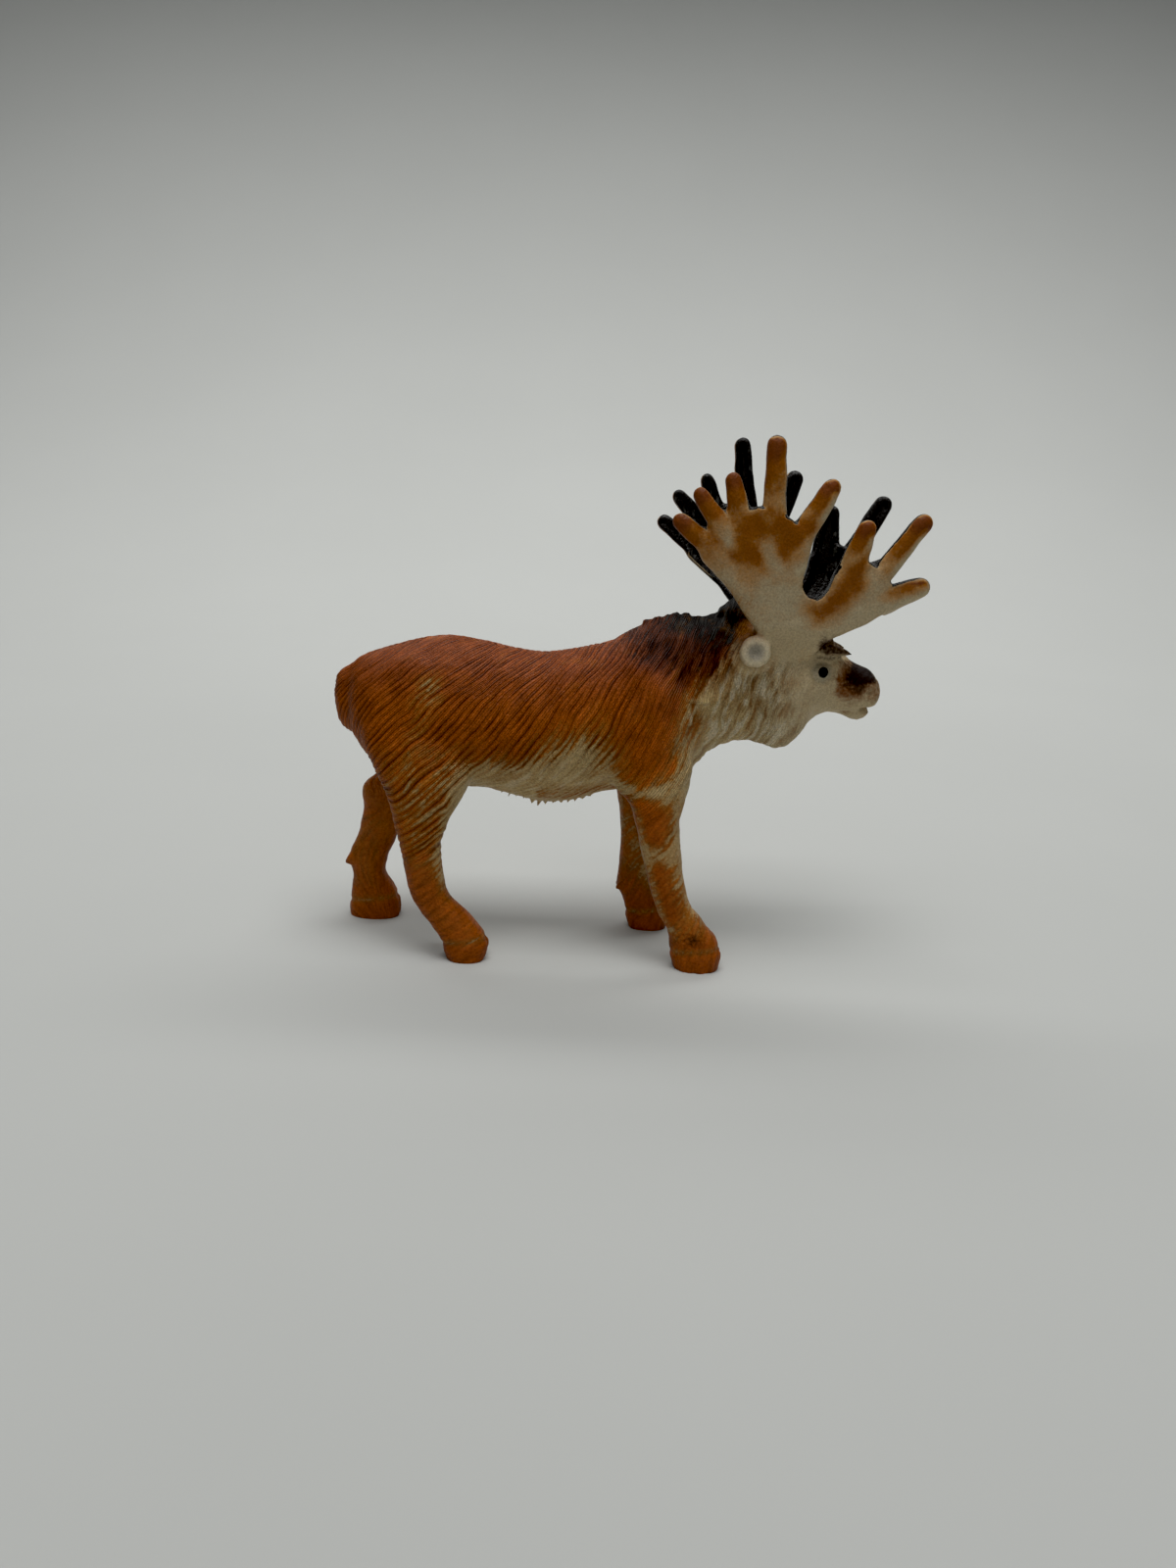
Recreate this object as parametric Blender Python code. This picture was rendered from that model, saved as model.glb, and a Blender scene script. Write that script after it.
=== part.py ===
"""A small moulded moose figurine that stands on its four hooves: one solid, faceted.

The sculpt is laid out in the millimetres of the real figurine, with X towards the nose, Z up and the
floor at Z 0. The body and the legs are lofts of rings, the antlers are bent plates with flat tines,
and the mane is rows of tufts. Everything is fused into one skin, carved, and thinned to a few
thousand facets. The figure's right side is -Y. The stations are in the sculpt's own frame, and the
finished solid is moved so that its box stands centred on the origin.
"""

import math

import bmesh
import bpy
import numpy as np
from mathutils import Vector

# Driving sizes, in metres
HEIGHT = 0.0514
BODY_WIDTH = 0.0132
STANCE = 0.0106
HOOF_WIDTH = 0.0042
ANTLER_SPREAD = 0.0160
ANTLER_PLATE = 0.0015
TINE_WIDTH = 0.0018
EAR_WIDTH = 0.0031
MANE_TUFT = 0.0011

# The sculpt's millimetre: the tables below are the real figurine's, at this height
SCULPT_HEIGHT = 51.4
SCULPT_HOOF = 4.2
MM = HEIGHT / SCULPT_HEIGHT

# Across the figure, the tables' shares become sculpt millimetres through these
FLANK = BODY_WIDTH / 2 / MM
HOOF_LINE = STANCE / 2 / MM
LEG_SHARE = HOOF_WIDTH / MM / SCULPT_HOOF
ANTLER_OUT = (ANTLER_SPREAD - TINE_WIDTH) / 2 / MM
PLATE = ANTLER_PLATE / MM
TINE = TINE_WIDTH / 2 / MM
EAR = EAR_WIDTH / 2 / MM
TUFT = MANE_TUFT / MM

# Skin
BODY_GRAIN = 0.34
SKIN_GRAIN = 0.24
FACETS = 9400

# Body: x, top, underside, half width as a share of the flank, and how much of that width
# is left near the top (crest) and near the underside (keel)
BODY = (
    (-24.1, 27.3, 22.8, 0.20, 1.00, 1.00),
    (-23.2, 28.6, 21.0, 0.52, 1.00, 1.00),
    (-21.6, 29.55, 18.8, 0.76, 1.00, 0.95),
    (-19.5, 30.25, 17.0, 0.90, 0.95, 0.90),
    (-16.6, 31.10, 16.0, 0.98, 0.92, 0.85),
    (-13.6, 31.45, 16.2, 1.00, 0.90, 0.85),
    (-10.5, 31.00, 16.4, 0.97, 0.92, 0.88),
    (-7.4, 30.40, 15.8, 0.95, 0.95, 0.88),
    (-4.4, 30.25, 15.2, 0.96, 0.95, 0.86),
    (-1.3, 30.80, 15.6, 0.98, 0.92, 0.86),
    (1.7, 31.60, 16.6, 1.00, 0.86, 0.85),
    (4.2, 32.80, 16.9, 0.99, 0.78, 0.82),
    (6.1, 33.50, 16.9, 0.94, 0.74, 0.80),
    (8.0, 33.90, 17.2, 0.86, 0.72, 0.76),
    (9.9, 34.10, 18.4, 0.77, 0.72, 0.70),
    (11.4, 34.40, 20.4, 0.70, 0.72, 0.64),
    (13.1, 35.10, 21.6, 0.63, 0.72, 0.52),
    (15.0, 35.50, 22.1, 0.58, 0.74, 0.46),
    (17.0, 35.30, 21.8, 0.56, 0.78, 0.42),
    (18.8, 34.80, 21.4, 0.55, 0.82, 0.40),
    (19.9, 34.25, 21.9, 0.54, 0.85, 0.42),
    (20.8, 33.80, 22.9, 0.53, 0.86, 0.50),
    (21.5, 33.40, 24.2, 0.51, 0.88, 0.62),
    (22.3, 32.90, 25.1, 0.48, 0.90, 0.75),
    (23.2, 32.30, 25.4, 0.44, 0.90, 0.82),
    (24.2, 31.50, 25.3, 0.40, 0.90, 0.88),
    (25.0, 30.75, 25.0, 0.37, 0.92, 0.90),
    (25.8, 30.40, 24.75, 0.36, 0.94, 0.90),
    (26.6, 30.15, 24.80, 0.36, 0.96, 0.90),
    (27.3, 29.65, 25.5, 0.34, 0.96, 0.95),
    (27.9, 28.95, 26.5, 0.27, 1.00, 1.00),
    (28.25, 28.1, 27.3, 0.14, 1.00, 1.00),
)

# Legs: z, back edge, front edge, middle as a share of the hoof line, half thickness
RIGHT_FORELEG = (
    (25.0, 2.4, 9.4, 0.62, 2.3),
    (21.0, 2.8, 10.2, 0.74, 2.6),
    (18.0, 3.7, 9.9, 0.86, 2.4),
    (15.5, 4.5, 9.2, 0.94, 2.05),
    (12.5, 5.3, 9.4, 0.97, 1.80),
    (9.2, 6.2, 10.0, 0.99, 1.65),
    (6.6, 7.0, 10.8, 1.00, 1.60),
    (5.2, 7.6, 11.8, 1.00, 1.65),
    (4.1, 8.4, 12.8, 1.00, 1.80),
    (2.8, 8.7, 13.8, 1.00, 2.02),
    (1.4, 8.8, 14.2, 1.00, 2.10),
    (0.4, 9.1, 14.1, 1.00, 2.08),
    (-0.7, 9.5, 13.7, 1.00, 1.95),
)
LEFT_FORELEG = (
    (25.0, 1.6, 8.6, 0.62, 2.3),
    (21.0, 1.8, 8.8, 0.74, 2.6),
    (17.6, 2.6, 8.3, 0.86, 2.3),
    (14.6, 3.1, 7.7, 0.94, 2.00),
    (11.6, 3.6, 7.4, 0.97, 1.75),
    (8.4, 3.7, 7.3, 0.99, 1.60),
    (6.0, 3.6, 7.5, 1.00, 1.60),
    (4.4, 3.5, 7.9, 1.00, 1.75),
    (3.3, 4.2, 8.5, 1.00, 1.85),
    (1.8, 4.6, 9.1, 1.00, 2.02),
    (0.4, 4.8, 9.3, 1.00, 2.05),
    (-0.7, 5.1, 9.0, 1.00, 1.92),
)
RIGHT_HIND_LEG = (
    (26.0, -22.4, -11.6, 0.58, 2.5),
    (22.5, -22.4, -10.9, 0.68, 3.1),
    (19.0, -20.8, -11.0, 0.80, 3.0),
    (16.5, -19.6, -12.0, 0.88, 2.6),
    (13.8, -18.8, -13.4, 0.94, 2.15),
    (11.3, -18.1, -14.0, 0.98, 1.85),
    (8.6, -17.6, -13.7, 1.00, 1.65),
    (6.0, -16.9, -12.8, 1.00, 1.60),
    (4.6, -16.0, -11.2, 1.00, 1.68),
    (3.3, -14.9, -10.1, 1.00, 1.85),
    (1.8, -14.0, -9.1, 1.00, 2.02),
    (0.4, -13.6, -9.3, 1.00, 2.05),
    (-0.7, -13.3, -9.8, 1.00, 1.92),
)
LEFT_HIND_LEG = (
    (26.0, -21.2, -12.2, 0.58, 2.5),
    (22.5, -21.5, -12.6, 0.68, 3.1),
    (19.0, -21.2, -14.0, 0.80, 2.8),
    (16.6, -21.4, -15.8, 0.88, 2.3),
    (14.8, -23.4, -17.2, 0.94, 1.90),
    (12.2, -23.6, -18.9, 0.98, 1.75),
    (9.0, -24.2, -20.0, 1.00, 1.62),
    (6.3, -25.2, -21.0, 1.00, 1.62),
    (4.7, -24.7, -21.3, 1.00, 1.65),
    (3.5, -24.9, -20.4, 1.00, 1.85),
    (1.8, -25.1, -19.6, 1.00, 2.02),
    (0.4, -25.2, -19.5, 1.00, 2.05),
    (-0.7, -24.9, -19.9, 1.00, 1.92),
)
# Dewclaws: x and z behind the fetlocks of the left legs
DEWCLAWS = ((4.0, 4.5), (-24.9, 6.1))
# Hooves: middle x, front x, side
HOOVES = ((11.6, 14.2, -1), (7.0, 9.3, 1), (-11.4, -9.2, -1), (-22.3, -19.5, 1))
HOOF_CREASE_HEIGHT = 2.0

# Antler, seen from the side: the palm's outline, then each tine's root, tip, and half width
# at both ends as shares of the tine's own
ANTLER_ROOT = (17.4, 32.6)
PALM = (
    (16.7, 30.8), (15.7, 33.0), (14.2, 35.0), (12.4, 37.3), (10.6, 39.0), (9.4, 40.2), (9.6, 42.4),
    (11.3, 44.2), (14.2, 45.2), (17.2, 44.2), (19.3, 42.6), (18.95, 39.9), (18.8, 38.6), (19.4, 37.4),
    (20.4, 37.0), (21.2, 37.8), (21.7, 39.6), (22.8, 41.0), (24.9, 40.6), (27.0, 38.8), (27.6, 36.6),
    (25.3, 35.0), (21.9, 33.2), (20.6, 31.2),
)
TINES = (
    ((11.2, 40.6), (7.35, 43.6), 1.40, 0.95),
    ((11.6, 42.6), (8.95, 46.0), 1.30, 0.90),
    ((12.8, 43.4), (11.75, 47.4), 1.25, 0.90),
    ((15.7, 43.6), (15.3, 50.5), 1.20, 1.00),
    ((18.2, 42.6), (20.5, 47.1), 1.40, 0.95),
    ((23.2, 39.6), (24.0, 43.6), 1.60, 1.00),
    ((25.6, 39.0), (29.05, 44.3), 1.20, 1.00),
    ((26.2, 36.9), (29.7, 38.5), 1.60, 1.05),
)
TINE_FLATNESS = 0.80
ANTLER_DISH = 0.40
ANTLER_CUP = 1.1
# The left antler sits a little further back than the right one, and tips up in front
LEFT_TIP_UP = math.radians(4.8)
LEFT_BACK = 0.05

EARS = (15.15, 0.68, 31.8)
EYES = (22.0, 0.47, 29.9)
BROWS = (22.6, 0.30, 31.9)
THROAT_LOCK = 1.5


def slopes(rows):
    table = np.array(rows, float)
    table = table[np.argsort(table[:, 0])]
    return table, np.gradient(table, table[:, 0], axis=0)


def through(rows, wanted):
    """Rows of numbers, keyed by their first one, read at the wanted keys off smooth curves."""
    table, slope = slopes(rows)
    keys = table[:, 0]
    wanted = np.asarray(wanted, float)
    k = np.clip(np.searchsorted(keys, wanted, side="right") - 1, 0, len(keys) - 2)
    span = (keys[k + 1] - keys[k])[:, None]
    t = (wanted - keys[k])[:, None] / span
    ends = table[k] * (2 * t**3 - 3 * t**2 + 1) + table[k + 1] * (3 * t**2 - 2 * t**3)
    return ends + span * (slope[k] * (t**3 - 2 * t**2 + t) + slope[k + 1] * (t**3 - t**2))


def evenly(rows, count):
    keys = [row[0] for row in rows]
    return through(rows, np.linspace(min(keys), max(keys), count))


def round_corner(angle, squareness):
    """A point of a superellipse of half sizes 1: 2 is a circle, and more is squarer."""
    c, s = math.cos(angle), math.sin(angle)
    power = 2 / squareness
    return math.copysign(abs(c) ** power, c), math.copysign(abs(s) ** power, s)


def add_tube(shapes, rings):
    """A closed skin over rings of points, with a flat cap at each end."""
    rows = [[shapes.verts.new(p) for p in ring] for ring in rings]
    sides = len(rows[0])
    for near, far in zip(rows, rows[1:]):
        for i in range(sides):
            j = (i + 1) % sides
            shapes.faces.new((near[i], near[j], far[j], far[i]))
    shapes.faces.new(rows[0][::-1])
    shapes.faces.new(rows[-1])


def add_ball(shapes, middle, half_sizes):
    """An ellipsoid on the given middle."""
    made = bmesh.ops.create_icosphere(shapes, subdivisions=4, radius=1.0)["verts"]
    for v in made:
        v.co = Vector(middle) + Vector([c * h for c, h in zip(v.co, half_sizes)])


def add_tuft(shapes, root, tip, width):
    """A pointed lock: fattest a third of the way down, and drawn out to its tip."""
    sides = 8
    root, tip = Vector(root), Vector(tip)
    along = (tip - root).normalized()
    across = along.orthogonal().normalized()
    other = along.cross(across)
    rings = []
    for t, share in ((0.0, 0.35), (0.12, 0.8), (0.35, 1.0), (0.6, 0.8), (0.85, 0.42), (1.0, 0.12)):
        ring = []
        for i in range(sides):
            a = 2 * math.pi * i / sides
            out = across * math.cos(a) + other * math.sin(a)
            ring.append(root.lerp(tip, t) + out * (share * width / 2))
        rings.append(ring)
    add_tube(shapes, rings)


def ring_point(row, angle, lift=0.0):
    """The body's surface at a station, at an angle from the top round to the left side."""
    x, top, under, share, crest, keel = row
    middle, half = (top + under) / 2, (top - under) / 2
    up, out = round_corner(angle, 2.25)
    waist = 1 + ((crest if up > 0 else keel) - 1) * abs(up) ** 1.5
    off = Vector((0, out * share * waist * FLANK, up * half))
    return Vector((x, 0, middle)) + off + off.normalized() * lift


def add_body(shapes):
    """Rump, barrel, neck, bell and head: one loft of upright rings from tail to nose."""
    sides = 40
    turns = [2 * math.pi * i / sides for i in range(sides)]
    add_tube(shapes, [[ring_point(row, turn) for turn in turns] for row in evenly(BODY, 110)])


def add_leg(shapes, stations, side):
    """One leg with its hoof: a loft of level rings. Side is -1 on the right and 1 on the left."""
    sides = 28
    rings = []
    for z, back, front, share, thick in evenly(stations, 64):
        middle, half = (back + front) / 2, (front - back) / 2
        ring = []
        for i in range(sides):
            along, out = round_corner(2 * math.pi * i / sides, 2.3)
            y = side * share * HOOF_LINE + out * thick * LEG_SHARE
            ring.append((middle + along * half, y, z))
        rings.append(ring)
    add_tube(shapes, rings)


def add_muscles(shapes):
    """Shoulders, thighs and cheeks stand proud of the barrel and the skull."""
    for side in (-1, 1):
        add_ball(shapes, (5.4, side * 0.66 * FLANK, 23.6), (4.2, 2.5, 7.4))
        add_ball(shapes, (-16.4, side * 0.53 * FLANK, 23.0), (5.4, 2.9, 7.2))
        add_ball(shapes, (19.4, side * 0.34 * FLANK, 28.4), (3.2, 1.7, 3.2))


def add_tail(shapes):
    """A short tail that lies down the middle of the rump."""
    sides = 20
    rows = (
        (28.4, -22.8, 0.5, 0.6), (27.6, -23.4, 1.3, 1.5), (26.0, -23.8, 1.5, 2.0),
        (24.0, -23.7, 1.6, 2.1), (22.6, -23.4, 1.5, 1.8), (21.6, -23.0, 1.1, 1.2),
        (21.2, -22.7, 0.5, 0.6),
    )
    rings = []
    for z, x, deep, wide in evenly(rows, 24):
        ring = []
        for i in range(sides):
            along, out = round_corner(2 * math.pi * i / sides, 2.0)
            ring.append((x + along * deep, out * wide, z))
        rings.append(ring)
    add_tube(shapes, rings)


def add_mane(shapes):
    """Tufts in staggered rows: a crest along the neck, and locks that hang down its sides."""
    for x in np.arange(5.4, 13.0, 0.95 * TUFT):
        root = ring_point(through(BODY, [x])[0], 0.0, -0.35 * TUFT)
        tip = ring_point(through(BODY, [x - 0.75 * TUFT])[0], 0.0, 0.42 * TUFT)
        add_tuft(shapes, root, tip, TUFT)
    rows = ((10, 4.6, 13.2), (26, 5.0, 13.2), (42, 5.8, 12.8), (58, 6.8, 12.4), (73, 7.8, 12.0))
    for number, (degrees, start, end) in enumerate(rows):
        for side in (-1, 1):
            turn = side * math.radians(degrees)
            lower = turn + side * math.radians(15)
            for x in np.arange(start + (number % 2) * 0.55 * TUFT, end, 1.1 * TUFT):
                root = ring_point(through(BODY, [x])[0], turn, -0.45 * TUFT)
                tip = ring_point(through(BODY, [x - 0.8 * TUFT])[0], lower, 0.10 * TUFT)
                add_tuft(shapes, root, tip, TUFT)


def add_nape(shapes):
    """A lump of hair behind the antlers, with a few tufts on it."""
    middle = Vector((13.9, 0, 34.3))
    add_ball(shapes, middle, (1.8, 2.1, 1.8))
    for turn in range(-60, 61, 30):
        a = math.radians(turn)
        for rise in (25, 65):
            b = math.radians(rise)
            off = Vector((-math.cos(b) * math.cos(a), math.cos(b) * math.sin(a), math.sin(b)))
            root = middle + off * 1.4
            add_tuft(shapes, root, root + off * 0.5 + Vector((-0.7, 0, -0.8)), TUFT)


def add_belly_fringe(shapes):
    """A row of small points under the middle of the belly."""
    for x in np.arange(-8.6, 0.6, 0.75):
        under = through(BODY, [x])[0][2]
        add_tuft(shapes, (x + 0.2, 0, under + 0.5), (x - 0.15, 0, under - 0.42), 0.62)


def add_brows(shapes):
    """A short wedge over each eye, and a point at its front."""
    x, share, z = BROWS
    for side in (-1, 1):
        y = side * share * FLANK
        add_tuft(shapes, (x - 1.2, y, z + 0.35), (x + 2.2, y, z - 0.35), 1.3)
        add_tuft(shapes, (x - 0.4, y, z - 0.2), (x + 0.1, y, z + 1.25), 1.5)


def add_dewclaws(shapes):
    for x, z in DEWCLAWS:
        for off in (-0.7, 0.7):
            y = HOOF_LINE + off
            add_tuft(shapes, (x + 1.0, y, z + 0.7), (x - 0.55, y, z - 0.25), 1.5)


def antler_off(x, z):
    """How far the middle of the antler's plate stands off the figure's middle."""
    root_out = 0.50 * FLANK - 0.55 * np.clip(ANTLER_ROOT[1] + 0.8 - z, 0, 4)
    rise = np.clip((z - ANTLER_ROOT[1]) / (SCULPT_HEIGHT - 1.0 - ANTLER_ROOT[1]), 0, 1)
    reach = (x - ANTLER_ROOT[0]) / 12.0
    flare = (ANTLER_OUT - root_out) * (1 - (1 - rise) ** 1.7) * (0.98 + 0.10 * reach)
    return root_out + flare - ANTLER_CUP * rise * reach**2


def placed(x, z, side):
    """A side-view point of the right antler, moved to where the left one has it."""
    if side < 0:
        return x, z
    c, s = math.cos(LEFT_TIP_UP), math.sin(LEFT_TIP_UP)
    dx, dz = x - ANTLER_ROOT[0], z - ANTLER_ROOT[1]
    return ANTLER_ROOT[0] + dx * c - dz * s - LEFT_BACK, ANTLER_ROOT[1] + dx * s + dz * c


def unplaced(x, z):
    """The other way: a point of the left antler, as the right one has it."""
    c, s = math.cos(LEFT_TIP_UP), math.sin(LEFT_TIP_UP)
    dx, dz = x - ANTLER_ROOT[0] + LEFT_BACK, z - ANTLER_ROOT[1]
    return ANTLER_ROOT[0] + dx * c + dz * s, ANTLER_ROOT[1] - dx * s + dz * c


def plate_half(z):
    """Half the plate's thickness: it is stouter towards the skull."""
    low = max(0.0, 1 - (z - ANTLER_ROOT[1]) / 7.0)
    return PLATE / 2 * (1 + 0.8 * low**1.5)


def add_palm(shapes, side):
    """The antler's plate, bent outwards as it rises."""
    flat = bmesh.new()
    face = flat.faces.new([flat.verts.new((x, 0, z)) for x, z in PALM])
    bmesh.ops.triangulate(flat, faces=[face])
    for _ in range(3):
        bmesh.ops.subdivide_edges(flat, edges=flat.edges[:], cuts=1, use_grid_fill=True)
    flat.verts.index_update()
    layers = []
    for face_side in (-1, 1):
        layer = []
        for v in flat.verts:
            x, z = placed(v.co.x, v.co.z, side)
            y = antler_off(v.co.x, v.co.z) + face_side * plate_half(v.co.z)
            layer.append(shapes.verts.new((x, side * y, z)))
        layers.append(layer)
    for face in flat.faces:
        ids = [v.index for v in face.verts]
        shapes.faces.new([layers[0][i] for i in ids])
        shapes.faces.new([layers[1][i] for i in reversed(ids)])
    for edge in flat.edges:
        if len(edge.link_faces) == 1:
            a, b = (v.index for v in edge.verts)
            shapes.faces.new((layers[0][a], layers[0][b], layers[1][b], layers[1][a]))
    flat.free()


def tine_spots(root, tip, root_share, tip_share):
    """Middles and half widths along a tine, with its round end."""
    steps, cap = 14, 5
    start, end = Vector(root), Vector(tip)
    along = (end - start).normalized()
    spots = []
    for i in range(steps + 1):
        t = i / steps
        spots.append((start.lerp(end, t), TINE * (root_share + (tip_share - root_share) * t)))
    for i in range(1, cap + 1):
        a = 0.5 * math.pi * i / (cap + 0.3)
        spots.append((end + along * (math.sin(a) * TINE * tip_share), TINE * tip_share * math.cos(a)))
    return along, spots


def add_tine(shapes, tine, side):
    """A flat, round-ended tine that runs out of the palm."""
    sides = 16
    along, spots = tine_spots(*tine)
    across = Vector((-along.y, along.x))
    rings = []
    for spot, radius in spots:
        ring = []
        for i in range(sides):
            wide, deep = round_corner(2 * math.pi * i / sides, 2.4)
            flat = spot + across * (wide * radius)
            x, z = placed(flat.x, flat.y, side)
            y = antler_off(flat.x, flat.y) + deep * min(radius, TINE) * TINE_FLATNESS
            ring.append((x, side * y, z))
        rings.append(ring)
    add_tube(shapes, rings)


def add_antlers(shapes):
    for side in (-1, 1):
        add_palm(shapes, side)
        for tine in TINES:
            add_tine(shapes, tine, side)


def add_ears(shapes):
    x, share, z = EARS
    for side in (-1, 1):
        add_ball(shapes, (x, side * share * FLANK, z), (EAR, 0.62 * EAR, EAR))


def bump(distance, reach):
    """1 in the middle, and smoothly down to 0 at its reach."""
    return (1 - np.clip(np.abs(distance) / reach, 0, 1) ** 2) ** 2


def dent(points, middle, reach, deep):
    return deep * bump(np.linalg.norm(points - np.array(middle), axis=1), reach)


def to_path(points, path):
    """Each point's distance to a path of straight runs."""
    best = np.full(len(points), np.inf)
    for a, b in zip(path, path[1:]):
        a, b = np.array(a, float), np.array(b, float)
        t = np.clip((points - a) @ (b - a) / ((b - a) @ (b - a)), 0, 1)
        best = np.minimum(best, np.linalg.norm(points - a - t[:, None] * (b - a), axis=1))
    return best


def in_outline(x, z, outline):
    """Which points of the side view are inside a closed outline."""
    inside = np.zeros(len(x), bool)
    for (ax, az), (bx, bz) in zip(outline, outline[1:] + outline[:1]):
        crosses = (az > z) != (bz > z)
        rise = (bz - az) if bz != az else 1.0
        inside ^= crosses & (x < ax + (z - az) / rise * (bx - ax))
    return inside


def from_rim(x, z):
    """How far a point of the side view is inside the antler's rim."""
    flat = np.stack([x, z], 1)
    closed = PALM + PALM[:1]
    inside = np.where(in_outline(x, z, PALM), 1, -1) * to_path(flat, closed)
    for root, tip, root_share, tip_share in TINES:
        a, b = np.array(root), np.array(tip)
        t = np.clip((flat - a) @ (b - a) / ((b - a) @ (b - a)), 0, 1)
        half = TINE * (root_share + (tip_share - root_share) * t)
        inside = np.maximum(inside, half - np.linalg.norm(flat - a - t[:, None] * (b - a), axis=1))
    return inside


def face_cuts(points):
    """How deep the ear cups, eye rings, brow slits, mouth and nostrils are cut."""
    x, y, z = points.T
    cut = np.zeros(len(points))
    for side in (-1, 1):
        ear = (EARS[0] + 0.05, side * (EARS[1] * FLANK + 0.5 * EAR), EARS[2])
        cut += dent(points, ear, 0.86 * EAR, 0.52 * EAR)
        eye = np.array((EYES[0], side * EYES[1] * FLANK, EYES[2]))
        around = np.linalg.norm((points - eye) * (1, 0.4, 1), axis=1)
        cut += 0.30 * bump(around - 0.95, 0.5) * (side * y > 0)
        brow_y = side * (BROWS[1] * FLANK + 0.7)
        slit = ((21.4, brow_y, 31.0), (24.0, brow_y, 31.1))
        cut += 0.30 * bump(to_path(points, slit), 0.7)
        mouth = ((24.3, side * 2.4, 26.1), (26.0, side * 2.4, 26.0), (28.0, side * 1.2, 26.1))
        cut += 0.42 * bump(to_path(points, mouth), 0.55)
        cut += dent(points, (27.7, side * 1.3, 28.2), 0.7, 0.35)
    return cut


def throat_cuts(points):
    """How deep the hanging locks of the throat and the bell are parted."""
    x, y, z = points.T
    across = x + 0.12 * z + 0.35 * np.sin(0.9 * z)
    parting = (0.5 - 0.5 * np.cos(2 * math.pi * across / THROAT_LOCK)) ** 2
    where = bump(x - 15.6, 6.4) ** 0.5 * np.clip((30.0 - z) / 3.0, 0, 1)
    return 0.30 * parting * where


def hoof_cuts(points):
    """How deep the crease round each hoof and the cleft down its front are cut."""
    x, y, z = points.T
    cut = np.zeros(len(points))
    for middle, front, side in HOOVES:
        here = (np.abs(x - middle) < 3.6) & (side * y > 0) & (z < 4.5)
        cut += 0.13 * bump(z - HOOF_CREASE_HEIGHT - 0.12 * (x - middle), 0.5) * here
        cleft = bump(y - side * HOOF_LINE, 0.6) * bump(z - 0.6, 2.4) * (x > middle)
        cut += 0.45 * cleft * here
    return cut


def dish_cuts(points, normals):
    """How deep the inner faces of the palms and the tines are dished."""
    x, y, z = points.T
    cut = np.zeros(len(points))
    for side in (-1, 1):
        here = (side * y > 0) & (z > 35.0)
        own_x, own_z = (x, z) if side < 0 else unplaced(x, z)
        inside = from_rim(own_x[here], own_z[here])
        inner = np.clip(-side * normals[here, 1] * 2 - 0.6, 0, 1)
        low = np.clip((z[here] - 35.0) / 3.0, 0, 1)
        cut[here] += ANTLER_DISH * np.clip((inside - 0.30) / 0.45, 0, 1) * inner * low
    return cut


def carve(skin):
    """Moves the skin inwards along its normals where the sculpt is cut."""
    skin.normal_update()
    points = np.array([v.co for v in skin.verts])
    normals = np.array([v.normal for v in skin.verts])
    cut = face_cuts(points) + throat_cuts(points) + hoof_cuts(points) + dish_cuts(points, normals)
    for v, place in zip(skin.verts, points - normals * cut[:, None]):
        v.co = place


def taken(obj):
    """The object's evaluated mesh as a bmesh; the object is removed."""
    graph = bpy.context.evaluated_depsgraph_get()
    result = bmesh.new()
    result.from_mesh(obj.evaluated_get(graph).to_mesh())
    bpy.data.objects.remove(obj)
    return result


def as_object(shapes, name):
    mesh = bpy.data.meshes.new(name)
    shapes.to_mesh(mesh)
    shapes.free()
    obj = bpy.data.objects.new(name, mesh)
    bpy.context.scene.collection.objects.link(obj)
    return obj


def fused(shapes, grain, smoothing):
    """The shapes as one skin: a voxel remesh with the given grain, then rounds of smoothing."""
    bmesh.ops.recalc_face_normals(shapes, faces=shapes.faces[:])
    clay = as_object(shapes, "clay")
    remesh = clay.modifiers.new("one_skin", "REMESH")
    remesh.mode = "VOXEL"
    remesh.voxel_size = grain
    smooth = clay.modifiers.new("soften", "SMOOTH")
    smooth.factor = 0.5
    smooth.iterations = smoothing
    return taken(clay)


def thinned(skin, facets):
    """The skin with about this many triangles."""
    bmesh.ops.triangulate(skin, faces=skin.faces[:])
    count = len(skin.faces)
    clay = as_object(skin, "clay")
    fewer = clay.modifiers.new("fewer_facets", "DECIMATE")
    fewer.ratio = min(1.0, facets / count)
    return taken(clay)


def cut_soles(skin):
    """Cuts the hooves flat on the floor, and closes each cut with a level face."""
    cut = bmesh.ops.bisect_plane(
        skin, geom=skin.verts[:] + skin.edges[:] + skin.faces[:], dist=1e-4,
        plane_co=(0, 0, 0), plane_no=(0, 0, 1), clear_inner=True,
    )
    rim = [e for e in cut["geom_cut"] if isinstance(e, bmesh.types.BMEdge)]
    bmesh.ops.edgeloop_fill(skin, edges=rim)
    bmesh.ops.triangulate(skin, faces=[f for f in skin.faces if len(f.verts) > 3])


def stand_on_origin(skin):
    """Sculpt millimetres become metres, and the middle of the solid's box comes over the origin."""
    xs = [v.co.x for v in skin.verts]
    ys = [v.co.y for v in skin.verts]
    middle = Vector(((min(xs) + max(xs)) / 2, (min(ys) + max(ys)) / 2, 0))
    for v in skin.verts:
        v.co = (v.co - middle) * MM


def plastic():
    """Soft matt plastic with an orange-brown spray over it."""
    material = bpy.data.materials.new("painted_plastic")
    material.use_nodes = True
    shader = material.node_tree.nodes["Principled BSDF"]
    shader.inputs["Base Color"].default_value = (0.42, 0.15, 0.04, 1)
    shader.inputs["Roughness"].default_value = 0.5
    shader.inputs["Metallic"].default_value = 0.0
    return material


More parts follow.
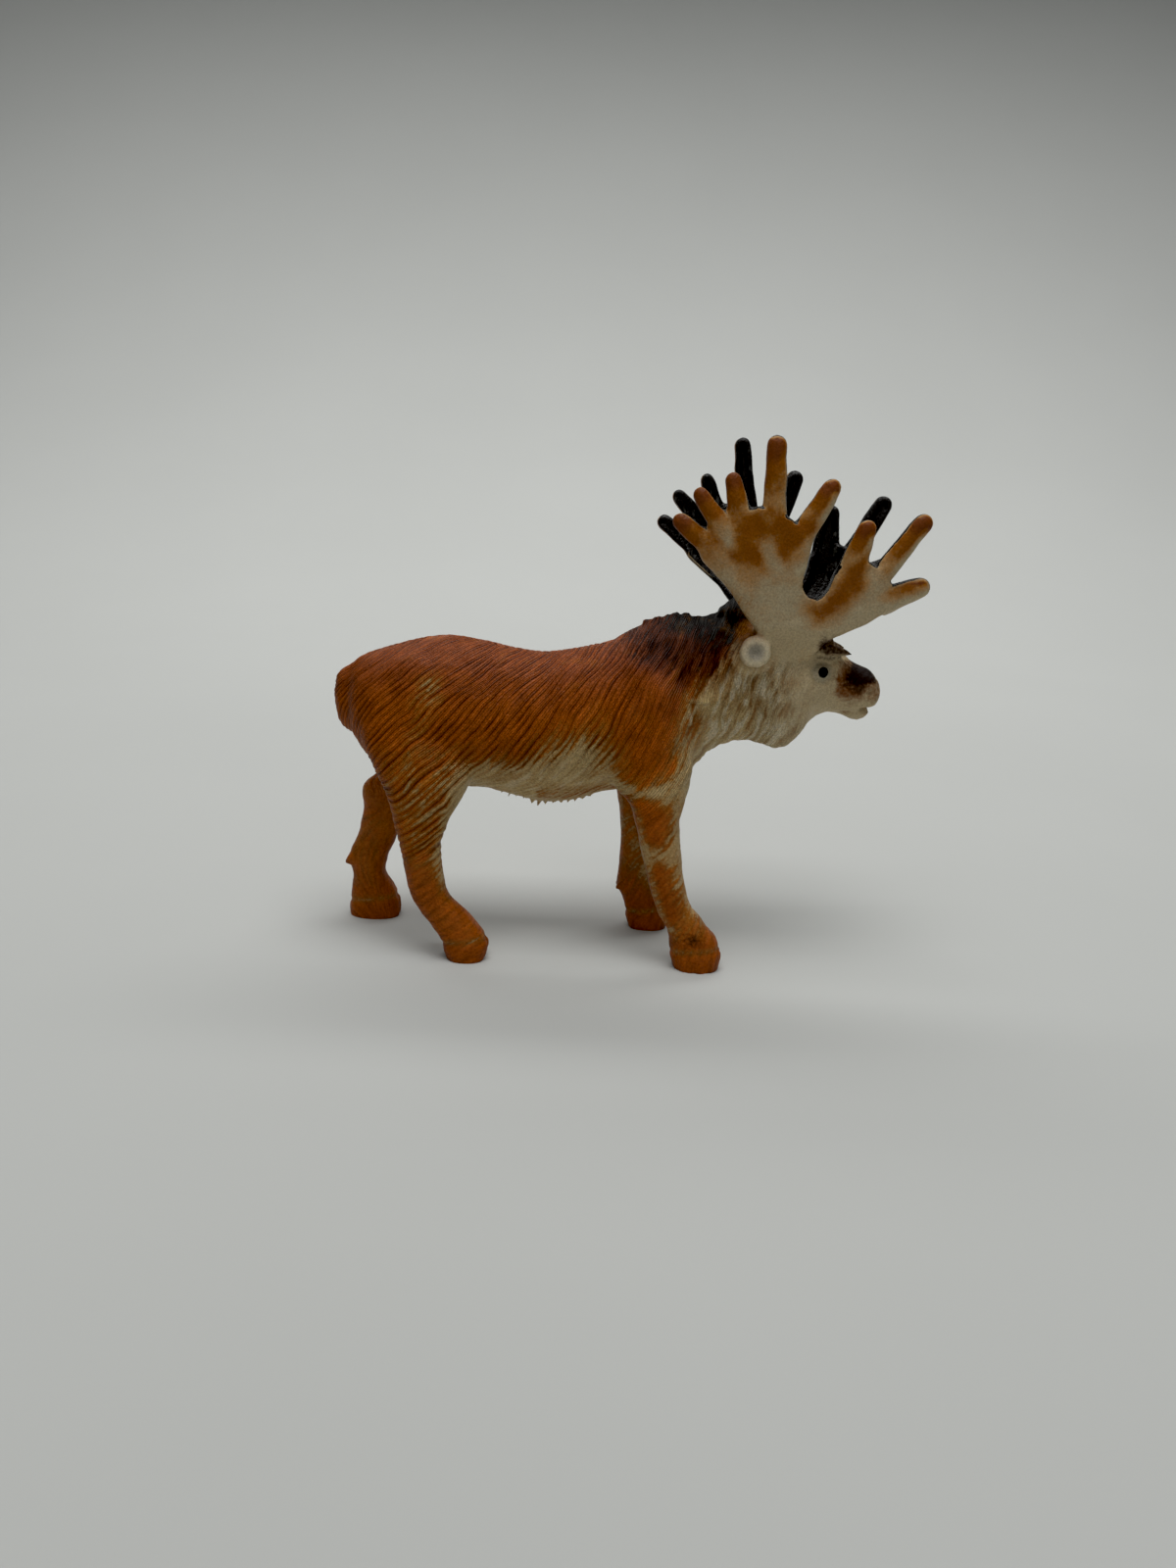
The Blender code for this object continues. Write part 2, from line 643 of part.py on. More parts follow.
def main():
    for obj in list(bpy.data.objects):
        bpy.data.objects.remove(obj)
    shapes = bmesh.new()
    add_body(shapes)
    add_muscles(shapes)
    add_leg(shapes, RIGHT_FORELEG, -1)
    add_leg(shapes, LEFT_FORELEG, 1)
    add_leg(shapes, RIGHT_HIND_LEG, -1)
    add_leg(shapes, LEFT_HIND_LEG, 1)
    skin = fused(shapes, BODY_GRAIN, 12)
    add_tail(skin)
    add_mane(skin)
    add_nape(skin)
    add_belly_fringe(skin)
    add_brows(skin)
    add_dewclaws(skin)
    add_ears(skin)
    add_antlers(skin)
    skin = fused(skin, SKIN_GRAIN, 2)
    carve(skin)
    skin = thinned(skin, FACETS)
    cut_soles(skin)
    stand_on_origin(skin)
    moose = as_object(skin, "moose")
    moose.data.materials.append(plastic())
    moose.data.shade_smooth()


main()
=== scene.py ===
"""The look of the moose figurine: fur combed into its skin, and its spray paint.

The skin is built again from the sculpt's own stations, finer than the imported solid, and fitted into
that solid's box. Lengths are sculpt millimetres until the skin is fitted; X is towards the nose.
"""

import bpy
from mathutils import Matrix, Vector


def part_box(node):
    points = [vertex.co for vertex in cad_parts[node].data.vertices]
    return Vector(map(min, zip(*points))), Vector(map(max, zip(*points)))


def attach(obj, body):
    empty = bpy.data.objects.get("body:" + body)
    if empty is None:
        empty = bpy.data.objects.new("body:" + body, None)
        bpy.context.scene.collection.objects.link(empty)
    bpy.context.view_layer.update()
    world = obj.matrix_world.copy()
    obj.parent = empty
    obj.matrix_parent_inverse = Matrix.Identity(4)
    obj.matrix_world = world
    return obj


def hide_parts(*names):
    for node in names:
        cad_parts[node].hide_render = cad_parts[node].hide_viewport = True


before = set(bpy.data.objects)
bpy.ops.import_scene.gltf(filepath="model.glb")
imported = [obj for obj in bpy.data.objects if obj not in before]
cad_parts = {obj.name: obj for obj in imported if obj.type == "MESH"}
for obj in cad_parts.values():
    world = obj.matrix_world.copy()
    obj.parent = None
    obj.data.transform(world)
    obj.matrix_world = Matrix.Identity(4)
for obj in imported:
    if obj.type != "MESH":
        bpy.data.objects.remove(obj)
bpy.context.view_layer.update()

import math

import bmesh
import bpy
import numpy as np
from mathutils import Matrix, Vector

NODE = "moose"
LOW, HIGH = (Vector(corner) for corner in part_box(NODE))

# The sculpt's millimetre, and its sizes across the figure
SCULPT_HEIGHT = 51.4
MM = (HIGH.z - LOW.z) / SCULPT_HEIGHT
FLANK = 6.6
HOOF_LINE = 5.3
ANTLER_OUT = 7.1
PLATE = 1.5
TINE = 0.9
EAR = 1.55
TUFT = 1.1

# Skin
BODY_GRAIN = 0.34
SKIN_GRAIN = 0.125
MOST_FACETS = 190000
BODY_SMOOTHING = 12
SKIN_SMOOTHING = 7
DRAWN_SMOOTHING = 70
ANTLER_SMOOTHING = 5

# Fur: the strands' pitch, the length of one lock, and how deep the partings are
STRAND = 0.60
FUR_DEPTH = 0.155
TUFT_DEPTH = 0.20

# Which way the fur lies: x, z and the slope of its strands in degrees, seen from the right
COMB = (
    (-24.6, 25.5, 60), (-24.0, 22.5, 64), (-22.6, 27.5, 48), (-21.5, 24.0, 55), (-18.0, 29.0, 36),
    (-18.5, 25.5, 36), (-17.0, 22.0, 31), (-18.5, 18.0, 36), (-14.0, 19.0, 33), (-15.5, 14.0, 34),
    (-16.0, 9.0, 40), (-22.0, 10.0, 42), (-12.5, 27.0, 46), (-11.5, 22.0, 50), (-8.0, 30.0, 50),
    (-7.0, 24.0, 56), (-5.0, 17.5, 60), (-2.0, 22.0, 59), (0.0, 27.0, 59), (1.5, 30.5, 58),
    (3.0, 24.0, 60), (3.0, 18.5, 56), (5.5, 28.0, 64), (7.0, 22.0, 57), (6.5, 15.0, 50),
    (8.0, 9.5, 46), (7.0, 33.0, 66), (10.0, 28.5, 82), (10.0, 33.0, 72), (12.5, 24.0, 86),
    (13.0, 30.0, 86), (16.0, 25.0, 90), (19.0, 24.5, 92), (18.0, 29.0, 88),
)
COMB_REACH = 2.4
POWERS = [(i, j) for i in range(9) for j in range(9) if 0 < i + j <= 8]

# Paint: side-view outlines of each colour, as x and z
COAT = (
    (-27.0, 33.0), (-27.0, 21.0), (-22.5, 20.2), (-20.5, 20.0), (-16.5, 20.6), (-14.2, 21.2),
    (-12.0, 20.3), (-7.6, 20.0), (-4.7, 21.2), (-1.8, 23.0), (0.6, 23.8), (1.8, 22.4), (2.2, 20.0),
    (3.0, 18.4), (5.2, 18.0), (6.9, 18.9), (7.9, 20.5), (8.8, 22.5), (9.2, 24.0), (9.1, 26.5),
    (9.1, 28.2), (9.6, 29.0), (10.3, 29.9), (11.8, 30.9), (12.8, 31.4), (13.4, 36.0), (0.0, 38.0),
)
THIGH = (
    (-23.5, 26.0), (-12.8, 26.0), (-13.4, 20.0), (-13.9, 15.5), (-13.6, 6.0), (-19.5, 6.0),
    (-20.8, 17.0), (-22.5, 21.0),
)
WITHERS = (
    (0.5, 33.0), (2.7, 32.5), (4.1, 31.6), (5.8, 31.0), (7.3, 30.4), (8.8, 29.8), (10.0, 30.3),
    (11.3, 30.2), (12.5, 31.4), (13.4, 32.9), (14.0, 34.0), (13.7, 38.0), (1.0, 38.0),
)
NAPE = (
    (6.3, 35.0), (7.2, 34.2), (8.3, 33.6), (10.0, 33.2), (11.5, 33.2), (12.7, 32.8), (13.5, 33.1),
    (14.7, 33.6), (16.4, 35.0), (16.8, 38.5), (7.4, 38.5),
)
MUZZLE = (
    (24.4, 30.8), (25.8, 31.2), (27.6, 30.8), (28.6, 29.2), (27.4, 28.5), (26.3, 27.9), (24.9, 27.7),
    (24.0, 28.5), (24.1, 29.8),
)
MUZZLE_FADE = (
    (23.9, 30.6), (23.2, 29.3), (23.4, 27.4), (24.8, 26.9), (26.0, 27.4), (27.1, 28.0), (27.9, 28.2),
    (27.6, 30.2), (25.7, 31.4),
)
KNEE_PATCH = (
    (4.2, 17.7), (6.5, 17.8), (7.6, 16.7), (8.4, 15.3), (8.6, 14.0), (7.7, 12.7), (5.9, 12.8),
    (5.1, 14.1), (4.7, 15.7),
)
SHIN_PATCH = (
    (6.2, 11.0), (7.0, 11.5), (8.4, 10.8), (8.9, 9.4), (9.6, 7.8), (10.3, 6.5), (9.4, 5.2),
    (8.3, 4.6), (7.0, 6.1), (6.8, 7.6), (6.1, 9.5),
)
STIFLE = ((-15.2, 27.0), (-16.2, 22.5), (-17.0, 18.5))
ELBOW = ((2.4, 18.8), (4.0, 18.0), (5.2, 17.9), (6.9, 18.4))
FOLDS = (((9.4, 27.0), (11.0, 26.8)), ((9.3, 26.5), (9.6, 24.8)))
MOUTH = ((24.0, 25.75), (25.6, 25.85), (28.6, 26.25))
BROW_SLIT = ((21.5, 31.3), (22.8, 31.2), (23.9, 31.3))
PALM_CLOUD = (
    (9.0, 43.2), (10.5, 45.4), (14.0, 46.0), (17.5, 45.0), (19.6, 43.6), (18.6, 41.6), (16.8, 40.6),
    (15.2, 39.2), (13.4, 39.2), (12.0, 40.6), (10.4, 40.8),
)
FRONT_CLOUD = (
    (19.6, 36.0), (21.4, 37.6), (22.0, 39.6), (22.8, 41.6), (24.8, 41.6), (24.4, 39.2), (23.4, 37.2),
    (21.8, 35.8), (20.4, 35.2),
)
PALE_STREAKS = (((10.6, 45.0), (11.6, 42.0)), ((15.3, 41.6), (16.4, 39.6)))

# Colours
CREAM = (0.47, 0.345, 0.165)
BONE = (0.435, 0.350, 0.215)
LIGHT_ORANGE = (0.355, 0.088, 0.009)
DEEP_ORANGE = (0.088, 0.017, 0.002)
GOLD = (0.32, 0.145, 0.024)
RED_BROWN = (0.29, 0.072, 0.017)
DEEP_RED = (0.052, 0.009, 0.003)
LIGHT_MAROON = (0.130, 0.034, 0.012)
MAROON = (0.020, 0.0045, 0.002)
BLACK = (0.008, 0.0065, 0.0055)
MUZZLE_BROWN = (0.012, 0.004, 0.002)
# Painted sheen: grey streaks on the black of the mane and nape
PAINTED_SHEEN = (0.045, 0.043, 0.038)
BROWN = (0.155, 0.048, 0.007)
WASH = (0.21, 0.088, 0.016)
CHALK = (0.60, 0.52, 0.36)
TINE_ORANGE = (0.36, 0.138, 0.011)
TINE_BROWN = (0.225, 0.070, 0.006)
TINE_TIP = (0.155, 0.042, 0.009)
HALO = (0.22, 0.080, 0.010)
# Painted shade in the ears' hollows
EAR_HOLLOW_SHADE = (0.31, 0.275, 0.21)
EYE_GREY = (0.38, 0.33, 0.23)
PUPIL = (0.003, 0.003, 0.003)
SCRATCH = (0.45, 0.45, 0.42)

PAPER = ((0.474, 0.483, 0.464), (0.486, 0.495, 0.476))

# Lights: name, place, what it is aimed at, size, and watts
LIGHTS = (
    ("softbox", (0, -0.085, 0.43), (0, 0.02, 0), (0.30, 0.22), 0.71),
    ("front_fill", (0, -0.42, 0.12), (0, 0, 0.02), (0.5, 0.2), 0.10),
    ("backdrop_light", (0, 0.23, 0.36), (0, 0.24, 0.0), (0.7, 0.1), 0.80),
)
LIGHT_SPREAD = math.radians(130)
SKY = (0.95, 0.98, 1.0, 1)
SKY_STRENGTH = 0.095
BLACK_LEVEL = 0.0065

# Places in the photograph's frame: where the camera looks, how far off, how steep, and its roll
AIM = (0.0, 0.0, 17.0)
CAMERA_AWAY = 123.0
CAMERA_DOWN = math.radians(16)
CAMERA_ROLL = math.radians(2.5)
LENS = 28.125
SCULPT_MIDDLE = 2.57

# Body: x, top, underside, half width as a share of the flank, and how much of that width
# is left near the top (crest) and near the underside (keel)
BODY = (
    (-24.1, 27.3, 22.8, 0.20, 1.00, 1.00),
    (-23.2, 28.6, 21.0, 0.52, 1.00, 1.00),
    (-21.6, 29.55, 18.8, 0.76, 1.00, 0.95),
    (-19.5, 30.25, 17.0, 0.90, 0.95, 0.90),
    (-16.6, 31.10, 16.0, 0.98, 0.92, 0.85),
    (-13.6, 31.45, 16.2, 1.00, 0.90, 0.85),
    (-10.5, 31.00, 16.4, 0.97, 0.92, 0.88),
    (-7.4, 30.40, 15.8, 0.95, 0.95, 0.88),
    (-4.4, 30.25, 15.2, 0.96, 0.95, 0.86),
    (-1.3, 30.80, 15.6, 0.98, 0.92, 0.86),
    (1.7, 31.60, 16.6, 1.00, 0.86, 0.85),
    (4.2, 33.10, 16.9, 0.99, 0.78, 0.82),
    (6.1, 33.95, 16.9, 0.94, 0.74, 0.80),
    (8.0, 34.30, 17.2, 0.86, 0.72, 0.76),
    (9.9, 34.25, 18.4, 0.77, 0.72, 0.70),
    (11.4, 34.40, 20.4, 0.70, 0.72, 0.64),
    (13.1, 35.10, 21.6, 0.63, 0.72, 0.52),
    (15.0, 35.50, 22.1, 0.58, 0.74, 0.46),
    (17.0, 35.30, 21.8, 0.56, 0.78, 0.42),
    (18.8, 34.80, 21.4, 0.55, 0.82, 0.40),
    (19.9, 34.25, 21.9, 0.54, 0.85, 0.42),
    (20.8, 33.80, 22.9, 0.53, 0.86, 0.50),
    (21.5, 33.40, 24.2, 0.51, 0.88, 0.62),
    (22.3, 32.90, 25.1, 0.48, 0.90, 0.75),
    (23.2, 32.30, 25.4, 0.44, 0.90, 0.82),
    (24.2, 31.50, 25.3, 0.40, 0.90, 0.88),
    (25.0, 30.75, 25.0, 0.37, 0.92, 0.90),
    (25.8, 30.40, 24.75, 0.36, 0.94, 0.90),
    (26.6, 30.15, 24.80, 0.36, 0.96, 0.90),
    (27.3, 29.65, 25.5, 0.34, 0.96, 0.95),
    (27.9, 28.95, 26.5, 0.27, 1.00, 1.00),
    (28.25, 28.1, 27.3, 0.14, 1.00, 1.00),
)

# Legs: z, back edge, front edge, middle as a share of the hoof line, half thickness
RIGHT_FORELEG = (
    (25.0, 2.4, 9.4, 0.62, 2.3),
    (21.0, 2.8, 10.2, 0.74, 2.6),
    (18.0, 3.7, 9.9, 0.86, 2.4),
    (15.5, 4.5, 9.2, 0.94, 2.05),
    (12.5, 5.3, 9.4, 0.97, 1.80),
    (9.2, 6.2, 10.0, 0.99, 1.65),
    (6.6, 7.0, 10.8, 1.00, 1.60),
    (5.2, 7.6, 11.8, 1.00, 1.65),
    (4.1, 8.4, 12.8, 1.00, 1.80),
    (2.8, 8.7, 13.8, 1.00, 2.02),
    (1.4, 8.8, 14.2, 1.00, 2.10),
    (0.4, 9.1, 14.1, 1.00, 2.08),
    (-0.7, 9.5, 13.7, 1.00, 1.95),
)
LEFT_FORELEG = (
    (25.0, 1.6, 8.6, 0.62, 2.3),
    (21.0, 1.8, 8.8, 0.74, 2.6),
    (17.6, 2.6, 8.3, 0.86, 2.3),
    (14.6, 3.1, 7.7, 0.94, 2.00),
    (11.6, 3.6, 7.4, 0.97, 1.75),
    (8.4, 3.7, 7.3, 0.99, 1.60),
    (6.0, 3.6, 7.5, 1.00, 1.60),
    (4.4, 3.5, 7.9, 1.00, 1.75),
    (3.3, 4.2, 8.5, 1.00, 1.85),
    (1.8, 4.6, 9.1, 1.00, 2.02),
    (0.4, 4.8, 9.3, 1.00, 2.05),
    (-0.7, 5.1, 9.0, 1.00, 1.92),
)
RIGHT_HIND_LEG = (
    (26.0, -22.4, -11.6, 0.58, 2.5),
    (22.5, -22.4, -10.9, 0.68, 3.1),
    (19.0, -20.8, -11.0, 0.80, 3.0),
    (16.5, -19.6, -12.0, 0.88, 2.6),
    (13.8, -18.8, -13.4, 0.94, 2.15),
    (11.3, -18.1, -14.0, 0.98, 1.85),
    (8.6, -17.6, -13.7, 1.00, 1.65),
    (6.0, -16.9, -12.8, 1.00, 1.60),
    (4.6, -16.0, -11.2, 1.00, 1.68),
    (3.3, -14.9, -10.1, 1.00, 1.85),
    (1.8, -14.0, -9.1, 1.00, 2.02),
    (0.4, -13.6, -9.3, 1.00, 2.05),
    (-0.7, -13.3, -9.8, 1.00, 1.92),
)
LEFT_HIND_LEG = (
    (26.0, -21.2, -12.2, 0.58, 2.5),
    (22.5, -21.5, -12.6, 0.68, 3.1),
    (19.0, -21.2, -14.0, 0.80, 2.8),
    (16.6, -21.4, -15.8, 0.88, 2.3),
    (14.8, -23.4, -17.2, 0.94, 1.90),
    (12.2, -23.6, -18.9, 0.98, 1.75),
    (9.0, -24.2, -20.0, 1.00, 1.62),
    (6.3, -25.2, -21.0, 1.00, 1.62),
    (4.7, -24.7, -21.3, 1.00, 1.65),
    (3.5, -24.9, -20.4, 1.00, 1.85),
    (1.8, -25.1, -19.6, 1.00, 2.02),
    (0.4, -25.2, -19.5, 1.00, 2.05),
    (-0.7, -24.9, -19.9, 1.00, 1.92),
)
LEGS = ((RIGHT_FORELEG, -1), (LEFT_FORELEG, 1), (RIGHT_HIND_LEG, -1), (LEFT_HIND_LEG, 1))

# Tail: z, x, half depth, half width
TAIL = (
    (28.4, -22.8, 0.5, 0.6), (27.6, -23.4, 1.3, 1.5), (26.0, -23.8, 1.5, 2.0),
    (24.0, -23.7, 1.6, 2.1), (22.6, -23.4, 1.5, 1.8), (21.6, -23.0, 1.1, 1.2),
    (21.2, -22.7, 0.5, 0.6),
)
# Mane: degrees from the top, and the x where each row of locks starts and ends
MANE_ROWS = ((10, 4.6, 13.2), (26, 5.0, 13.2), (42, 5.8, 12.8), (58, 6.8, 12.4), (73, 7.8, 12.0))
# Dewclaws: x and z behind the fetlocks of the left legs
DEWCLAWS = ((4.0, 4.5), (-24.9, 6.1))
# Hooves: middle x and side
HOOVES = ((11.6, -1), (7.0, 1), (-11.4, -1), (-22.3, 1))
HOOF_CREASE_HEIGHT = 2.0

# Antler, seen from the side: the palm's outline, then each tine's root, tip, and half width
# at both ends as shares of the tine's own
ANTLER_ROOT = (17.4, 32.6)
PALM = (
    (16.7, 30.8), (15.7, 33.0), (14.2, 35.0), (12.4, 37.3), (10.6, 39.0), (9.4, 40.2), (9.6, 42.4),
    (11.3, 44.2), (14.2, 45.2), (17.2, 44.2), (19.3, 42.6), (19.0, 39.9), (18.75, 38.9), (18.9, 38.0),
    (19.35, 37.35), (19.95, 37.05), (20.5, 37.05), (21.0, 37.45), (21.35, 38.2), (21.7, 39.6),
    (22.8, 41.0), (24.9, 40.6), (27.0, 38.8), (27.6, 36.6), (25.3, 35.0), (21.9, 33.2), (20.6, 31.2),
)
TINES = (
    ((11.2, 40.6), (7.35, 43.6), 1.40, 0.95),
    ((11.6, 42.6), (8.95, 46.0), 1.30, 0.90),
    ((12.8, 43.4), (11.75, 47.4), 1.25, 0.90),
    ((15.7, 43.6), (15.3, 50.5), 1.20, 1.00),
    ((18.2, 42.6), (20.5, 47.1), 1.40, 0.95),
    ((23.2, 39.6), (24.0, 43.6), 1.60, 1.00),
    ((25.6, 39.0), (29.05, 44.3), 1.20, 1.00),
    ((26.2, 36.9), (29.7, 38.5), 1.60, 1.05),
)
TINE_FLATNESS = 0.80
ANTLER_DISH = 0.40
ANTLER_CUP = 1.1
# The left antler sits a little further back than the right one, and tips up in front
LEFT_TIP_UP = math.radians(4.8)
LEFT_BACK = 0.05

EARS = (15.15, 0.68, 31.8)
EYES = (22.0, 0.47, 29.9)
BROWS = (22.6, 0.30, 31.9)
THROAT_LOCK = 1.5


def slopes(rows):
    table = np.array(rows, float)
    table = table[np.argsort(table[:, 0])]
    return table, np.gradient(table, table[:, 0], axis=0)


def through(rows, wanted):
    """Rows of numbers, keyed by their first one, read at the wanted keys off smooth curves."""
    table, slope = slopes(rows)
    keys = table[:, 0]
    wanted = np.asarray(wanted, float)
    k = np.clip(np.searchsorted(keys, wanted, side="right") - 1, 0, len(keys) - 2)
    span = (keys[k + 1] - keys[k])[:, None]
    t = (wanted - keys[k])[:, None] / span
    ends = table[k] * (2 * t**3 - 3 * t**2 + 1) + table[k + 1] * (3 * t**2 - 2 * t**3)
    return ends + span * (slope[k] * (t**3 - 2 * t**2 + t) + slope[k + 1] * (t**3 - t**2))


def evenly(rows, count):
    keys = [row[0] for row in rows]
    return through(rows, np.linspace(min(keys), max(keys), count))


def round_corner(angle, squareness):
    """A point of a superellipse of half sizes 1: 2 is a circle, and more is squarer."""
    c, s = math.cos(angle), math.sin(angle)
    power = 2 / squareness
    return math.copysign(abs(c) ** power, c), math.copysign(abs(s) ** power, s)


def add_tube(shapes, rings):
    """A closed skin over rings of points, with a flat cap at each end."""
    rows = [[shapes.verts.new(p) for p in ring] for ring in rings]
    sides = len(rows[0])
    for near, far in zip(rows, rows[1:]):
        for i in range(sides):
            j = (i + 1) % sides
            shapes.faces.new((near[i], near[j], far[j], far[i]))
    shapes.faces.new(rows[0][::-1])
    shapes.faces.new(rows[-1])


def add_ball(shapes, middle, half_sizes):
    """An ellipsoid on the given middle."""
    made = bmesh.ops.create_icosphere(shapes, subdivisions=4, radius=1.0)["verts"]
    for v in made:
        v.co = Vector(middle) + Vector([c * h for c, h in zip(v.co, half_sizes)])


def round_points(sides, squareness=2.0):
    return [round_corner(2 * math.pi * i / sides, squareness) for i in range(sides)]


def add_tuft(shapes, root, tip, width):
    """A pointed lock: fattest a third of the way down, and drawn out to its tip."""
    root, tip = Vector(root), Vector(tip)
    along = (tip - root).normalized()
    across = along.orthogonal().normalized()
    other = along.cross(across)
    rings = []
    for t, share in ((0.0, 0.35), (0.12, 0.8), (0.35, 1.0), (0.6, 0.8), (0.85, 0.42), (1.0, 0.12)):
        middle, half = root.lerp(tip, t), share * width / 2
        rings.append([middle + (across * c + other * s) * half for c, s in round_points(8)])
    add_tube(shapes, rings)


def ring_point(row, angle, lift=0.0):
    """The body's surface at a station, at an angle from the top round to the left side."""
    x, top, under, share, crest, keel = row
    middle, half = (top + under) / 2, (top - under) / 2
    up, out = round_corner(angle, 2.25)
    waist = 1 + ((crest if up > 0 else keel) - 1) * abs(up) ** 1.5
    off = Vector((0, out * share * waist * FLANK, up * half))
    return Vector((x, 0, middle)) + off + off.normalized() * lift


def add_body(shapes):
    """Rump, barrel, neck, bell and head: one loft of upright rings from tail to nose."""
    sides = 40
    turns = [2 * math.pi * i / sides for i in range(sides)]
    add_tube(shapes, [[ring_point(row, turn) for turn in turns] for row in evenly(BODY, 110)])


def add_leg(shapes, stations, side):
    """One leg with its hoof: a loft of level rings. Side is -1 on the right and 1 on the left."""
    rings = []
    for z, back, front, share, thick in evenly(stations, 64):
        middle, half, y = (back + front) / 2, (front - back) / 2, side * share * HOOF_LINE
        rings.append([(middle + along * half, y + out * thick, z) for along, out in round_points(28, 2.3)])
    add_tube(shapes, rings)


def add_muscles(shapes):
    """Shoulders, thighs and cheeks stand proud of the barrel and the skull."""
    for side in (-1, 1):
        add_ball(shapes, (5.4, side * 0.66 * FLANK, 23.6), (4.2, 2.5, 7.4))
        add_ball(shapes, (-16.4, side * 0.53 * FLANK, 23.0), (5.4, 2.9, 7.2))
        add_ball(shapes, (19.4, side * 0.34 * FLANK, 28.4), (3.2, 1.7, 3.2))


def add_tail(shapes):
    """A short tail that lies down the middle of the rump."""
    rings = []
    for z, x, deep, wide in evenly(TAIL, 24):
        rings.append([(x + along * deep, out * wide, z) for along, out in round_points(20)])
    add_tube(shapes, rings)


def add_mane(shapes):
    """Tufts in staggered rows: a crest along the neck, and locks that hang down its sides."""
    for x in np.arange(5.4, 13.0, 0.95 * TUFT):
        root = ring_point(through(BODY, [x])[0], 0.0, -0.35 * TUFT)
        tip = ring_point(through(BODY, [x - 0.75 * TUFT])[0], 0.0, 0.42 * TUFT)
        add_tuft(shapes, root, tip, TUFT)
    for number, (degrees, start, end) in enumerate(MANE_ROWS):
        for side in (-1, 1):
            turn = side * math.radians(degrees)
            lower = turn + side * math.radians(15)
            for x in np.arange(start + (number % 2) * 0.55 * TUFT, end, 1.1 * TUFT):
                root = ring_point(through(BODY, [x])[0], turn, -0.45 * TUFT)
                tip = ring_point(through(BODY, [x - 0.8 * TUFT])[0], lower, 0.02 * TUFT)
                add_tuft(shapes, root, tip, 0.9 * TUFT)


def add_nape(shapes):
    """A lump of hair behind the antlers, with a few tufts on it."""
    middle = Vector((13.8, 0, 34.7))
    add_ball(shapes, middle, (1.8, 2.1, 1.8))
    for turn in range(-60, 61, 30):
        a = math.radians(turn)
        for rise in (25, 65):
            b = math.radians(rise)
            off = Vector((-math.cos(b) * math.cos(a), math.cos(b) * math.sin(a), math.sin(b)))
            root = middle + off * 1.4
            add_tuft(shapes, root, root + off * 0.5 + Vector((-0.7, 0, -0.8)), TUFT)


def add_belly_fringe(shapes):
    """A row of small points under the middle of the belly."""
    for x in np.arange(-8.6, 0.6, 0.75):
        under = through(BODY, [x])[0][2]
        add_tuft(shapes, (x + 0.2, 0, under + 0.5), (x - 0.15, 0, under - 0.42), 0.62)


def add_brows(shapes):
    """A short wedge over each eye, and a point at its front."""
    x, share, z = BROWS
    for side in (-1, 1):
        y = side * share * FLANK
        add_tuft(shapes, (x - 1.2, y, z + 0.35), (x + 2.2, y, z - 0.35), 1.3)
        add_tuft(shapes, (x - 0.4, y, z - 0.2), (x + 0.1, y, z + 1.25), 1.5)


def add_dewclaws(shapes):
    for x, z in DEWCLAWS:
        for off in (-0.7, 0.7):
            y = HOOF_LINE + off
            add_tuft(shapes, (x + 1.0, y, z + 0.7), (x - 0.55, y, z - 0.25), 1.5)


def antler_off(x, z):
    """How far the middle of the antler's plate stands off the figure's middle."""
    root_out = 0.50 * FLANK - 0.55 * np.clip(ANTLER_ROOT[1] + 0.8 - z, 0, 4)
    rise = np.clip((z - ANTLER_ROOT[1]) / (SCULPT_HEIGHT - 1.0 - ANTLER_ROOT[1]), 0, 1)
    reach = (x - ANTLER_ROOT[0]) / 12.0
    flare = (ANTLER_OUT - root_out) * (1 - (1 - rise) ** 1.7) * (0.98 + 0.10 * reach)
    return root_out + flare - ANTLER_CUP * rise * reach**2


def placed(x, z, side):
    """A side-view point of the right antler, moved to where the left one has it."""
    if side < 0:
        return x, z
    c, s = math.cos(LEFT_TIP_UP), math.sin(LEFT_TIP_UP)
    dx, dz = x - ANTLER_ROOT[0], z - ANTLER_ROOT[1]
    return ANTLER_ROOT[0] + dx * c - dz * s - LEFT_BACK, ANTLER_ROOT[1] + dx * s + dz * c


def unplaced(x, z, side):
    """The other way: a point of either antler, as the right one has it."""
    if side < 0:
        return x, z
    c, s = math.cos(LEFT_TIP_UP), math.sin(LEFT_TIP_UP)
    dx, dz = x - ANTLER_ROOT[0] + LEFT_BACK, z - ANTLER_ROOT[1]
    return ANTLER_ROOT[0] + dx * c + dz * s, ANTLER_ROOT[1] - dx * s + dz * c


def each_antler(points, above, beyond=0.8):
    """For each side, its sign, which points are by its antler, and where the right one has them."""
    x, y, z = points.T
    for side in (-1, 1):
        near = (side * y > beyond) & (z > above)
        yield side, near, *unplaced(x[near], z[near], side)


def each_hoof(points):
    """For each hoof, its middle and side, which points are by it, and how far above its crease."""
    x, y, z = points.T
    for middle, side in HOOVES:
        near = (np.abs(x - middle) < 3.6) & (side * y > 0)
        yield middle, side, near, z - HOOF_CREASE_HEIGHT - 0.12 * (x - middle)


def plate_half(z):
    """Half the plate's thickness: it is stouter towards the skull."""
    low = max(0.0, 1 - (z - ANTLER_ROOT[1]) / 7.0)
    return PLATE / 2 * (1 + 0.8 * low**1.5)


